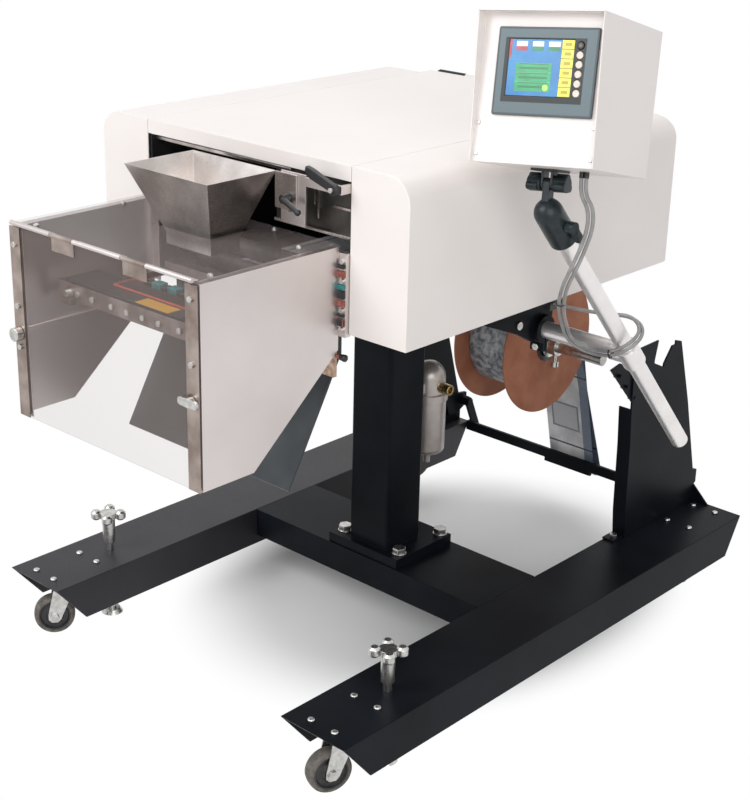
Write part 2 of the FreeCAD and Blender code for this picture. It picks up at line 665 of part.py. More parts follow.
def feed_heights():
    """Heights of the drive roller's and the nip roller's axes, each side of the film."""
    middle = INFEED_Z + ROLLER_R + SEAT + WEB_T / 2
    reach = FEED_ROLLER_R + SEAT + WEB_T / 2
    return middle - reach, middle + reach


def lid_hinge():
    """Middle of the lid's hinge."""
    return V(0, HEAD_REAR + 6, HEAD_TOP - 2)


def side_cover(side):
    """Painted side cover: front, top, outer and rear wall with rounded corners."""
    def form(inset):
        x0 = HEAD_BAY + COVER_GAP
        x1 = HEAD_HALF - inset
        shape = block(x0 - (1 if inset else 0), x1, HEAD_FRONT + inset, HEAD_REAR - inset,
                      HEAD_BOTTOM - (1 if inset else 0), HEAD_TOP - inset)
        shape = rounded(shape, COVER_REAR_R - inset,
                        lambda edge: along(edge, "z") and edge.BoundBox.YMin > 0 and edge.BoundBox.XMin > x1 - 1)
        return rounded(shape, COVER_TOP_R - inset,
                       lambda edge: along(edge, "y") and edge.BoundBox.ZMin > HEAD_TOP - 9
                       and edge.BoundBox.XMin > x1 - 1)
    solid = form(0).cut(form(COVER_T))
    return solid if side > 0 else mirrored(solid)


def top_cover():
    """Hinged centre cover with a folded front lip and hinge leaves."""
    half = HEAD_BAY - COVER_GAP
    t = COVER_T
    hinge = lid_hinge()
    plate = block(-half, half, HEAD_FRONT, HEAD_REAR - 3, HEAD_TOP - t, HEAD_TOP)
    lip = block(-half, half, HEAD_FRONT, HEAD_FRONT + t, HEAD_TOP - LID_LIP, HEAD_TOP)
    solids = [lip]
    for x0, x1 in ((-159, -71), (71, 159)):
        solids.append(rod(V(x0, hinge.y, hinge.z), V(x1, hinge.y, hinge.z), LID_BARREL_R))
        solids.append(block(x0, x1, HEAD_REAR - 4, hinge.y, HEAD_TOP - t, HEAD_TOP))
    lid = plate.fuse(solids).removeSplitter()
    return lid.cut(rod(V(-half, hinge.y, hinge.z), V(half, hinge.y, hinge.z), LID_PIN_R + RUN))


def feed_roller(height):
    """Feed roller with its shaft through both bulkheads."""
    reach = HEAD_BAY + 12
    barrel = rod(V(-FEED_ROLLER_HALF, FEED_Y, height), V(FEED_ROLLER_HALF, FEED_Y, height), FEED_ROLLER_R)
    shaft = rod(V(-reach, FEED_Y, height), V(reach, FEED_Y, height), SHAFT_R)
    return barrel.fuse(shaft)


def guard_sides():
    """Two stainless side plates with folded front flange and rear flange."""
    t = GUARD_SHEET
    front = GUARD_FRONT + GUARD_PANE + SEAT
    top = GUARD_TOP - GUARD_PANE
    outline = [(GUARD_REAR, top), (GUARD_REAR, GUARD_SLANT_Z), (GUARD_SLANT_Y, GUARD_BOTTOM),
               (front, GUARD_BOTTOM), (front, top)]
    plate = side_plate(outline, GUARD_HALF - t, GUARD_HALF)
    flange = block(GUARD_HALF - GUARD_STRIP, GUARD_HALF, front, front + t, GUARD_BOTTOM, top)
    rear = block(GUARD_HALF - 20, GUARD_HALF, GUARD_REAR - t, GUARD_REAR, GUARD_SLANT_Z + 20, top)
    ledge = block(GUARD_HALF - 16, GUARD_HALF, front, GUARD_REAR, top - t, top)
    solid = plate.fuse([flange, rear, ledge]).removeSplitter()
    place = V(GUARD_HALF - GUARD_STRIP / 2, front, GUARD_KNOB_Z)
    solid = solid.cut(rod(place - V(0, 9, 0), place + V(0, 9, 0), 6.5))
    return [solid, mirrored(solid)]


def guard_top():
    """Clear top plate with the cut-out for the funnel."""
    front = GUARD_FRONT + GUARD_PANE + SEAT
    plate = block(-GUARD_HALF, GUARD_HALF, front, GUARD_REAR, GUARD_TOP - GUARD_PANE, GUARD_TOP)
    hole = block(-FUNNEL_OUT_HALF - FUNNEL_ROOM, FUNNEL_OUT_HALF + FUNNEL_ROOM, FUNNEL_OUT_FRONT - FUNNEL_ROOM,
                 FUNNEL_OUT_REAR + FUNNEL_ROOM, GUARD_TOP - 9, GUARD_TOP + 1)
    return plate.cut(rounded(hole, 3.0, lambda edge: along(edge, "z")))


def guard_hinge():
    """Middle of the hinge of the guard's front."""
    return V(0, GUARD_FRONT - 3, GUARD_TOP + 2)


def guard_fittings():
    """Bolts of the clear top, hinge barrels, mounting strips, tie rod and end block."""
    solids = []
    spots = ((-GUARD_HALF + 53, GUARD_FRONT + 15), (-GUARD_HALF + 34, GUARD_FRONT + 212),
             (GUARD_HALF - 11, GUARD_FRONT + 35), (GUARD_HALF - 132, GUARD_REAR - 18),
             (GUARD_HALF - 28, GUARD_REAR - 65))
    for x, y in spots:
        place = V(x, y, GUARD_TOP)
        solids.append(rod(place, place + V(0, 0, 4), 5).fuse(rod(place + V(0, 0, 4), place + V(0, 0, 5.5), 3)))
    hinge = guard_hinge()
    end = GUARD_HALF - 8
    for x0, x1 in ((-end, -120), (-60, 60), (120, end)):
        barrel = rod(V(x0, hinge.y, hinge.z), V(x1, hinge.y, hinge.z), GUARD_HINGE_R)
        leaf = block(x0, x1, hinge.y, GUARD_FRONT + 9, GUARD_TOP, GUARD_TOP + 1.5)
        bore = rod(V(x0 - 1, hinge.y, hinge.z), V(x1 + 1, hinge.y, hinge.z), 1.5)
        solids.append(barrel.fuse(leaf).removeSplitter().cut(bore))
    solids.append(rod(V(-end - 1, hinge.y, hinge.z), V(end + 1, hinge.y, hinge.z), 1.5))
    for side in (1, -1):
        strip = block(side * (GUARD_HALF - 9), side * HEAD_BAY, GUARD_REAR, HEAD_FRONT + CHASSIS_T,
                      HEAD_BOTTOM - 4, GUARD_TOP - 14)
        solids.append(strip)
        for z in (HEAD_BOTTOM + 9, HEAD_BOTTOM + 42, GUARD_TOP - 60, GUARD_TOP - 27):
            spot = V(side * (HEAD_BAY - 7.5), GUARD_REAR, z)
            solids.append(rod(spot, spot - V(0, 4, 0), 4.5))
    block_end = GUARD_HALF - 10
    solids.append(block(block_end - 26, block_end, GUARD_REAR, HEAD_FRONT, HEAD_BOTTOM - 80, HEAD_BOTTOM - 7))
    solids.append(block(CHUTE_HALF + 2, block_end, HEAD_FRONT, HEAD_FRONT + 30, HEAD_BOTTOM - 8, HEAD_BOTTOM))
    inner = -(GUARD_HALF - GUARD_SHEET)
    start = V(inner + 4, GUARD_FRONT + 12, GUARD_TIE_Z)
    finish = V(inner + 4, GUARD_REAR - 6, GUARD_TIE_Z)
    tie = rod(start, finish, 3)
    sleeve = ring(finish - V(0, 122, 0), finish, 3.9, 3)
    solids += [tie, sleeve]
    return solids


def guard_front():
    """Clear front pane with two stainless edge strips, bolts and hinge leaves."""
    hinge = guard_hinge()
    low = GUARD_BOTTOM
    high = GUARD_TOP - 5
    pane = block(-GUARD_HALF, GUARD_HALF, GUARD_FRONT, GUARD_FRONT + GUARD_PANE, low, high)
    strips = []
    for side in (1, -1):
        strip = block(side * (GUARD_HALF - GUARD_STRIP), side * GUARD_HALF, GUARD_FRONT - 2, GUARD_FRONT, low, high)
        strips.append(strip)
    knob_x = GUARD_HALF - GUARD_STRIP / 2
    for side in (1, -1):
        place = V(side * knob_x, GUARD_FRONT, GUARD_KNOB_Z)
        hole = rod(place - V(0, 9, 0), place + V(0, 9, 0), 4 + RUN)
        pane = pane.cut(hole)
        strips = [strip.cut(hole) for strip in strips]
    leaves = []
    for x0, x1 in ((-119, -61), (61, 119)):
        barrel = rod(V(x0, hinge.y, hinge.z), V(x1, hinge.y, hinge.z), GUARD_HINGE_R)
        leaf = block(x0, x1, GUARD_FRONT - 1.5, GUARD_FRONT, high - 20, hinge.z)
        bore = rod(V(x0 - 1, hinge.y, hinge.z), V(x1 + 1, hinge.y, hinge.z), 1.5 + RUN)
        leaves.append(barrel.fuse(leaf).removeSplitter().cut(bore))
    bolts = []
    for x, z in ((-knob_x, 865), (-knob_x, 758), (-knob_x, 685), (knob_x, 872), (knob_x, 768)):
        place = V(x, GUARD_FRONT - 2, z)
        bolts.append(rod(place, place - V(0, 4, 0), 5))
    return [pane] + strips + leaves + bolts


def guard_knob(side):
    """Hand knob of the guard's front: a round one on the far side, a winged one on the near side."""
    place = V(side * (GUARD_HALF - GUARD_STRIP / 2), GUARD_FRONT - 2 - SEAT, GUARD_KNOB_Z)
    stem = rod(place + V(0, 14, 0), place - V(0, 8, 0), 4)
    if side < 0:
        grip = rod(place, place - V(0, 14, 0), 12)
        return stem.fuse(grip)
    hub = rod(place, place - V(0, 12, 0), 8)
    wing = block(place.x - 22, place.x + 22, place.y - 12, place.y - 7, place.z - 7, place.z + 7)
    wing = rounded(wing, 6.0, lambda edge: along(edge, "y"))
    return stem.fuse([hub, wing])


def jaw_rod_height():
    """Height of the jaw's guide rods, just over the head's floor."""
    return HEAD_BOTTOM + CHASSIS_T + JAW_ROD_LIFT


def seal_jaw():
    """Moving pressure bar with dark plate, clear shield, cap screws and two guide rods."""
    rod_z = jaw_rod_height()
    low = JAW_Z - 14
    end = JAW_ROD_X + 12
    bar = front_plate([(-end, rod_z - 10), (-JAW_HALF, rod_z - 10), (-JAW_HALF, low), (JAW_HALF, low),
                       (JAW_HALF, rod_z - 10), (end, rod_z - 10), (end, JAW_Z + 16), (-end, JAW_Z + 16)],
                      JAW_Y, JAW_Y + JAW_BAR_T)
    plate = block(-JAW_HALF - 18, JAW_HALF, JAW_Y + 4, JAW_Y + 72, JAW_Z + 16, JAW_Z + 20)
    shield = block(-100, JAW_HALF, JAW_Y + 36, JAW_Y + 84, JAW_Z + 20, JAW_Z + 24)
    rods = []
    for side in (1, -1):
        start = V(side * JAW_ROD_X, JAW_Y + JAW_BAR_T, rod_z)
        rods.append(rod(start, V(side * JAW_ROD_X, HEAD_FRONT + 60, rod_z), JAW_ROD_R))
    bolts = []
    for x in (-150, -110, -60, -20, 20, 60, 110, 150):
        place = V(x, JAW_Y, JAW_Z)
        bolts.append(rod(place, place - V(0, 4, 0), 5))
    posts = [rod(V(-JAW_HALF + 8, JAW_Y, JAW_Z + 2), V(-JAW_HALF + 8, JAW_Y - 16, JAW_Z + 2), 6)]
    return [bar] + rods + [plate, shield] + bolts + posts


def seal_bar():
    """Fixed seal bar with two feet and the guide rods' bearing blocks on the head's floor."""
    floor = HEAD_BOTTOM + CHASSIS_T
    rod_z = jaw_rod_height()
    bar = block(-JAW_HALF + 4, JAW_HALF - 4, SEAL_BAR_FRONT, SEAL_BAR_REAR, JAW_Z - 12, JAW_Z + 14)
    feet = []
    for x in (-120, 120):
        feet.append(block(x - 12, x + 12, SEAL_BAR_REAR - 1, HEAD_FRONT + 34, floor, floor + 22))
    solids = [bar.fuse(feet).removeSplitter()]
    for side in (1, -1):
        x = side * JAW_ROD_X
        bearing = block(x - 12, x + 12, HEAD_FRONT + CHASSIS_T + 2, HEAD_FRONT + 36, floor, rod_z + 14)
        hole = rod(V(x, HEAD_FRONT - 20, rod_z), V(x, HEAD_FRONT + 80, rod_z), JAW_ROD_R + RUN)
        solids.append(bearing.cut(hole))
    return solids


def chute():
    """Folded discharge chute that hangs below the head and leads forwards."""
    t = CHUTE_T
    back = CHUTE_BACK
    top = HEAD_BOTTOM
    outline = [(back, top), (back, top - 48), (back - 35, top - 110), (back - 105, top - 233), (back - 122, top - 263),
               (back - 122 + t, top - 263 - t), (back - 104 + t, top - 234), (back - 34 + t, top - 111),
               (back + t, top - 49), (back + t, top)]
    plate = side_plate(outline, -CHUTE_HALF, CHUTE_HALF)
    tab = block(-CHUTE_HALF, CHUTE_HALF, back, back + 24, top - t, top)
    return plate.fuse(tab).removeSplitter()


def rectangle(half, front, rear, z):
    """Closed rectangular wire at a height."""
    corners = [V(-half, front, z), V(half, front, z), V(half, rear, z), V(-half, rear, z)]
    return Part.makePolygon(corners + corners[:1])


def funnel():
    """Square funnel: lofted wall, straight neck and rear hanger ear."""
    t = FUNNEL_T
    outer = Part.makeLoft([rectangle(FUNNEL_RIM_HALF, FUNNEL_RIM_FRONT, FUNNEL_RIM_REAR, FUNNEL_RIM_Z),
                           rectangle(FUNNEL_OUT_HALF, FUNNEL_OUT_FRONT, FUNNEL_OUT_REAR, FUNNEL_OUT_Z)], True, True)
    inner = Part.makeLoft([rectangle(FUNNEL_RIM_HALF - t, FUNNEL_RIM_FRONT + t, FUNNEL_RIM_REAR - t, FUNNEL_RIM_Z),
                           rectangle(FUNNEL_OUT_HALF - t, FUNNEL_OUT_FRONT + t, FUNNEL_OUT_REAR - t, FUNNEL_OUT_Z)],
                          True, True)
    low = FUNNEL_OUT_Z - FUNNEL_NECK
    neck = block(-FUNNEL_OUT_HALF, FUNNEL_OUT_HALF, FUNNEL_OUT_FRONT, FUNNEL_OUT_REAR, low, FUNNEL_OUT_Z)
    bore = block(-FUNNEL_OUT_HALF + t, FUNNEL_OUT_HALF - t, FUNNEL_OUT_FRONT + t, FUNNEL_OUT_REAR - t,
                 low, FUNNEL_OUT_Z)
    wall = outer.fuse(neck).cut(inner.fuse(bore))
    ear = block(FUNNEL_RIM_HALF - 1, FUNNEL_EAR_END, FUNNEL_RIM_REAR - 3, FUNNEL_RIM_REAR, 940, FUNNEL_RIM_Z)
    ear = ear.cut(rod(funnel_stud() - V(0, 30, 0), funnel_stud() + V(0, 30, 0), 4 + RUN))
    return wall.fuse(ear).removeSplitter()


def funnel_stud():
    """Middle of the stud that clamps the funnel to its bracket."""
    return V(132.0, FUNNEL_RIM_REAR, 960.0)


def funnel_bracket():
    """Slotted bracket between the funnel and the head, with an arm to the bulkhead."""
    y0 = FUNNEL_RIM_REAR + SEAT
    stud = funnel_stud()
    plate = block(112, 168, y0, y0 + 4, 917, 1003)
    slot_low = V(stud.x, y0, stud.z - FUNNEL_TRAVEL)
    slot_high = V(stud.x, y0, stud.z + FUNNEL_TRAVEL)
    slot = block(stud.x - 4.3, stud.x + 4.3, y0 - 1, y0 + 5, slot_low.z, slot_high.z)
    for end in (slot_low, slot_high):
        slot = slot.fuse(rod(end - V(0, 1, 0), end + V(0, 5, 0), 4.3))
    plate = plate.cut(slot)
    arm = block(168, HEAD_BAY, y0, y0 + 4, 985, 1000)
    tongue = block(HEAD_BAY - CHASSIS_T, HEAD_BAY, y0, HEAD_FRONT + CHASSIS_T, 985, 1000)
    pivot = toggle_pivot()
    pin = rod(V(pivot.x, y0, pivot.z), V(pivot.x, y0 - 15, pivot.z), 4)
    return plate.fuse([arm, tongue, pin]).removeSplitter()


def toggle_pivot():
    """Middle of the toggle lever's pivot."""
    return V(HEAD_BAY - 12.0, FUNNEL_RIM_REAR, FUNNEL_RIM_Z - 7.0)


def funnel_toggle():
    """Black toggle lever in front of the bracket's arm."""
    pivot = toggle_pivot()
    y1 = FUNNEL_RIM_REAR
    y0 = y1 - 9
    hub = rod(V(pivot.x, y0, pivot.z), V(pivot.x, y1, pivot.z), 10)
    lever = front_plate([(pivot.x, pivot.z - 6), (pivot.x, pivot.z + 9), (190, 1019), (176, 1022), (174, 1012),
                         (186, 1002)], y0, y1)
    solid = hub.fuse(lever).removeSplitter()
    return solid.cut(rod(V(pivot.x, y0 - 1, pivot.z), V(pivot.x, y1 + 1, pivot.z), 4 + RUN))


def funnel_clamp():
    """Clamp lever with its stud through ear and slot and a washer nut behind."""
    stud = funnel_stud()
    ear_front = FUNNEL_RIM_REAR - 3 - SEAT
    bracket_rear = FUNNEL_RIM_REAR + SEAT + 4 + SEAT
    bar = rod(V(stud.x, ear_front - 6, stud.z), V(stud.x, bracket_rear + 7, stud.z), 4)
    nut = hexagon(V(stud.x, bracket_rear, stud.z), V(0, 1, 0), 13.0, 6)
    hub = Part.makeCone(9, 7.5, 14, V(stud.x, ear_front, stud.z), V(0, -1, 0))
    arm = side_less_lever(V(stud.x, ear_front - 12, stud.z), V(stud.x + 44, ear_front - 22, stud.z - 12))
    return bar.fuse([nut, hub, arm])


def side_less_lever(start, end):
    """Tapered round lever arm with a ball end."""
    run = end - start
    arm = Part.makeCone(5.5, 4.0, run.Length, start, run)
    return arm.fuse(Part.makeSphere(5.5, end))


def roll_hanger():
    """Hanger under the head with the roll's spindle, washer and clamp collar."""
    x0 = HANGER_X
    x1 = HANGER_X + HANGER_T
    plate = side_plate([(300, HEAD_BOTTOM), (395, HEAD_BOTTOM), (ROLL_Y + 22, ROLL_Z + 12), (ROLL_Y + 22, ROLL_Z - 14),
                        (ROLL_Y + 10, ROLL_Z - 26), (ROLL_Y - 12, ROLL_Z - 26), (ROLL_Y - 26, ROLL_Z - 10),
                        (ROLL_Y - 40, ROLL_Z + 60)], x0, x1)
    flange = block(x0 - 40, x1, 300, 395, HEAD_BOTTOM - 6, HEAD_BOTTOM)
    axis = V(0, ROLL_Y, ROLL_Z)
    spindle = rod(axis + V(x0 + 1, 0, 0), axis + V(SPINDLE_END, 0, 0), SPINDLE_R)
    stop = rod(axis + V(x1, 0, 0), axis + V(-FLANGE_IN - FLANGE_T - 2 - SEAT, 0, 0), 20)
    body = plate.fuse([flange, spindle, stop]).removeSplitter()
    start = FLANGE_IN + FLANGE_T + 2 + SEAT
    washer = ring(axis + V(start, 0, 0), axis + V(start + ROLL_WASHER_T, 0, 0), ROLL_WASHER_R, SPINDLE_R)
    collar = rod(axis + V(COLLAR_START, 0, 0), axis + V(COLLAR_END, 0, 0), COLLAR_R)
    middle = axis + V((COLLAR_START + COLLAR_END) / 2, 0, 0)
    screw = rod(middle, middle - V(0, 0, COLLAR_SCREW), 4)
    grip = rod(middle - V(0, 0, COLLAR_SCREW - 12), middle - V(0, 0, COLLAR_SCREW), 8)
    collar = collar.fuse([screw, grip]).cut(rod(axis, axis + V(SPINDLE_END, 0, 0), SPINDLE_R))
    return [body, washer, collar.removeSplitter()]


def bag_roll():
    """Two board flanges on a hub, and the wound film between them."""
    axis = V(0, ROLL_Y, ROLL_Z)
    solids = []
    out = FLANGE_IN + FLANGE_T
    for side in (1, -1):
        disc = rod(axis + V(side * FLANGE_IN, 0, 0), axis + V(side * out, 0, 0), FLANGE_R)
        solids.append(disc)
    hub = rod(axis - V(out + 2, 0, 0), axis + V(out + 2, 0, 0), CORE_R - SEAT)
    spool = hub.fuse(solids).removeSplitter()
    spool = spool.cut(rod(axis - V(out + 9, 0, 0), axis + V(out + 9, 0, 0), SPINDLE_R + RUN))
    film = ring(axis - V(WEB_HALF, 0, 0), axis + V(WEB_HALF, 0, 0), FILM_R, CORE_R)
    return spool, film


def dancer():
    """Dancer frame: two side arms joined by the roller's bar and by a flat rail in front of the film."""
    pivot = (DANCER_PIVOT_Y, DANCER_PIVOT_Z)
    bar = (DANCER_BAR_Y, DANCER_BAR_Z)
    solids = []
    run_y = bar[0] - pivot[0]
    run_z = bar[1] - pivot[1]
    length = math.hypot(run_y, run_z)
    across = (-run_z / length * 11, run_y / length * 11)
    outline = [(pivot[0] + across[0], pivot[1] + across[1]), (bar[0] + across[0], bar[1] + across[1]),
               (bar[0] - across[0], bar[1] - across[1]), (pivot[0] - across[0], pivot[1] - across[1])]
    for side in (1, -1):
        x0 = side * (DANCER_PIVOT_X - DANCER_ARM_T / 2)
        x1 = side * (DANCER_PIVOT_X + DANCER_ARM_T / 2)
        arm = side_plate(outline, x0, x1)
        ends = [rod(V(x0, *pivot), V(x1, *pivot), 11), rod(V(x0, *bar), V(x1, *bar), 11),
                block(x0, x1, DANCER_RAIL_Y, bar[0], DANCER_RAIL_LOW, DANCER_RAIL_TOP)]
        arm = arm.fuse(ends).cut(rod(V(x0 - side, *pivot), V(x1 + side, *pivot), DANCER_PIN_R + RUN))
        solids.append(arm)
    cross = rod(V(-DANCER_PIVOT_X, *bar), V(DANCER_PIVOT_X, *bar), DANCER_BAR_R)
    rear = DANCER_RAIL_Y + DANCER_RAIL_T
    rail = block(-DANCER_PIVOT_X, DANCER_PIVOT_X, DANCER_RAIL_Y, rear, DANCER_RAIL_LOW, DANCER_RAIL_TOP)
    deep = block(-ROLLER_HALF, ROLLER_HALF, DANCER_RAIL_Y, rear, DANCER_RAIL_LOW - DANCER_RAIL_DROP, DANCER_RAIL_TOP)
    return cross.fuse(solids + [rail, deep]).removeSplitter()


def loose_roller(middle, radius, bore):
    """Roller that turns on a fixed shaft."""
    end = V(ROLLER_HALF, 0, 0)
    return ring(middle - end, middle + end, radius, bore + RUN)


def web_side(start, start_r, end, end_r):
    """Contact points of a straight strand between two circles, in (y, z).

    A positive radius puts the circle on the right of the travel, a negative one on the left.
    """
    dy = end[0] - start[0]
    dz = end[1] - start[1]
    reach = math.hypot(dy, dz)
    heading = math.atan2(dz, dy) - math.asin((start_r - end_r) / reach)
    normal = (-math.sin(heading), math.cos(heading))
    first = (start[0] + start_r * normal[0], start[1] + start_r * normal[1])
    last = (end[0] + end_r * normal[0], end[1] + end_r * normal[1])
    return first, last


def film_web():
    """Film strand: roll, dancer roller, infeed roller, nip."""
    offset = SEAT + WEB_T / 2
    stops = [((ROLL_Y, ROLL_Z), FILM_R + offset), ((DANCER_BAR_Y, DANCER_BAR_Z), ROLLER_R + offset),
             ((INFEED_Y, INFEED_Z), -ROLLER_R - offset),
             ((FEED_Y - 14, INFEED_Z + ROLLER_R + offset), 0.0)]
    pieces = []
    previous = None
    for (start, start_r), (end, end_r) in zip(stops, stops[1:]):
        first, last = web_side(start, start_r, end, end_r)
        if previous:
            pieces.append(web_wrap(start, abs(start_r), previous, first, start_r > 0))
        pieces.append(web_strand(first, last))
        previous = last
    return pieces[0].fuse(pieces[1:]).removeSplitter()


def web_strand(first, last):
    """Straight stretch of film."""
    dy = last[0] - first[0]
    dz = last[1] - first[1]
    reach = math.hypot(dy, dz)
    ny = -dz / reach * WEB_T / 2
    nz = dy / reach * WEB_T / 2
    outline = [(first[0] + ny, first[1] + nz), (last[0] + ny, last[1] + nz),
               (last[0] - ny, last[1] - nz), (first[0] - ny, first[1] - nz)]
    return side_plate(outline, -WEB_HALF, WEB_HALF)


def web_wrap(centre, radius, first, last, clockwise):
    """Stretch of film round a roller."""
    a0 = math.atan2(first[1] - centre[1], first[0] - centre[0])
    a1 = math.atan2(last[1] - centre[1], last[0] - centre[0])
    if clockwise:
        a0, a1 = a1, a0
    sweep = (a1 - a0) % (2 * math.pi)
    face = Part.makePolygon([V(-WEB_HALF, centre[0] + r * math.cos(a0), centre[1] + r * math.sin(a0))
                             for r in (radius - WEB_T / 2, radius + WEB_T / 2)])
    strip = face.extrude(V(2 * WEB_HALF, 0, 0))
    return strip.revolve(V(0, centre[0], centre[1]), V(1, 0, 0), math.degrees(sweep))


def arm_bracket():
    """Bracket under the head with a split clamp for the arm."""
    x0 = 285.0
    x1 = 297.0
    plate = side_plate([(-90, HEAD_BOTTOM), (-58, 702), (35, 664), (78, 640), (132, 640), (138, 690),
                        (118, HEAD_BOTTOM)], x0, x1)
    flange = block(x0, x0 + 50, -90, 118, HEAD_BOTTOM - 5, HEAD_BOTTOM)
    axis = V(0, ARM_Y, ARM_Z)
    eye = rod(axis + V(ARM_CLAMP_IN, 0, 0), axis + V(ARM_CLAMP_OUT, 0, 0), ARM_CLAMP_R)
    ears = block(ARM_CLAMP_IN, ARM_CLAMP_OUT, ARM_Y - 7, ARM_Y + 7, ARM_Z - ARM_CLAMP_R - 16, ARM_Z)
    solid = plate.fuse([flange, eye, ears]).removeSplitter()
    solid = solid.cut(rod(axis + V(ARM_CLAMP_IN - 9, 0, 0), axis + V(ARM_CLAMP_OUT + 9, 0, 0), ARM_R + RUN))
    split = block(ARM_CLAMP_IN - 1, ARM_CLAMP_OUT + 1, ARM_Y - 1, ARM_Y + 1, ARM_Z - ARM_CLAMP_R - 20, ARM_Z)
    solid = solid.cut(split)
    pinch_z = ARM_Z - ARM_CLAMP_R - 8
    middle = (ARM_CLAMP_IN + ARM_CLAMP_OUT) / 2
    pinch = rod(V(middle, ARM_Y - 8, pinch_z), V(middle, ARM_Y + 8, pinch_z), 4)
    solid = solid.cut(pinch)
    head = hexagon(V(middle, ARM_Y - 7, pinch_z), V(0, -1, 0), 13.0, 5)
    shank = rod(V(middle, ARM_Y - 8, pinch_z), V(middle, ARM_Y + 12, pinch_z), 4)
    knob = rod(V(x1, 35, 682), V(x1 + 4, 35, 682), 8)
    return [solid, head.fuse(shank), knob]


def mast_frame():
    """Turn a shape made along +Z at the origin onto the mast's axis at the arm's end."""
    lean = FreeCAD.Rotation(V(1, 0, 0), MAST_LEAN)
    return FreeCAD.Placement(V(MAST_X, ARM_Y, ARM_Z), lean)


def arm():
    """Arm tube with a T-clamp for the mast at its outer end."""
    axis = V(0, ARM_Y, ARM_Z)
    tube = ring(axis + V(ARM_START, 0, 0), axis + V(MAST_X - TEE_R + 2, 0, 0), ARM_R, ARM_R - 2.5)
    tee = Part.makeCylinder(TEE_R, TEE_LENGTH, V(0, 0, -TEE_LENGTH / 2))
    tee.Placement = mast_frame()
    bore = Part.makeCylinder(MAST_R + RUN, TEE_LENGTH + 2, V(0, 0, -TEE_LENGTH / 2 - 1))
    bore.Placement = mast_frame()
    collar = rod(axis + V(MAST_X - TEE_R - 16, 0, 0), axis + V(MAST_X - 12, 0, 0), ARM_R + 3)
    return tube.fuse([tee, collar]).cut(bore).removeSplitter()


def mast():
    """Mast tube with a turned spigot for its head."""
    tube = Part.makeCylinder(MAST_R, MAST_DOWN + MAST_UP, V(0, 0, -MAST_DOWN))
    hollow = Part.makeCylinder(MAST_R - 2.5, MAST_DOWN + 40, V(0, 0, -MAST_DOWN - 1))
    spigot = Part.makeCylinder(11, 40, V(0, 0, MAST_UP - 1))
    solid = tube.cut(hollow).fuse(spigot).removeSplitter()
    solid.Placement = mast_frame()
    return solid


def mast_head():
    """Black head that turns on the mast's spigot, with rounded top, tongue and lever boss."""
    low = MAST_UP + SEAT
    high = low + MAST_HEAD_LENGTH - MAST_HEAD_R
    shell = Part.makeCylinder(MAST_HEAD_R, high - low, V(0, 0, low))
    dome = Part.makeSphere(MAST_HEAD_R, V(0, 0, high))
    shell = shell.fuse(dome).cut(Part.makeCylinder(11 + RUN, 40, V(0, 0, low)))
    shell = shell.cut(Part.makeBox(60, 60, 40, V(-30, -30, low - 40)))
    shell.Placement = mast_frame()
    place = box_place()
    pin = tilt_pin()
    tongue = Part.makeBox(12, 18, 36, V(pin.x - 6, pin.y - 9, pin.z - 36))
    eye = rod(pin - V(6, 0, 0), pin + V(6, 0, 0), 9)
    tongue = tongue.fuse(eye).cut(rod(pin - V(9, 0, 0), pin + V(9, 0, 0), 5 + RUN))
    tongue.Placement = place
    return shell.fuse(tongue).removeSplitter()


def box_place():
    """Operator box frame: X across the front, Y into the box, Z up the front."""
    yaw = math.radians(BOX_YAW)
    pitch = math.radians(BOX_PITCH)
    roll = math.radians(BOX_ROLL)
    normal = V(math.sin(yaw) * math.cos(pitch), -math.cos(yaw) * math.cos(pitch), math.sin(pitch))
    width = V(math.cos(yaw), math.sin(yaw), 0)
    height = normal.cross(width)
    across = width * math.cos(roll) + height * math.sin(roll)
    up = height * math.cos(roll) - width * math.sin(roll)
    pin = tilt_pin()
    centre = TILT_PIN - across * pin.x + normal * pin.y - up * pin.z
    matrix = FreeCAD.Matrix(across.x, -normal.x, up.x, centre.x, across.y, -normal.y, up.y, centre.y,
                            across.z, -normal.z, up.z, centre.z, 0, 0, 0, 1)
    return FreeCAD.Placement(matrix)


def tilt_pin():
    """Tilt pin's middle in the box frame."""
    return V(TILT_SHIFT, TILT_DEPTH, -BOX_H / 2 - TILT_DROP)


def placed(solids, place):
    """Solids moved from the box frame to the machine."""
    for solid in solids:
        solid.Placement = place.multiply(solid.Placement)
    return solids


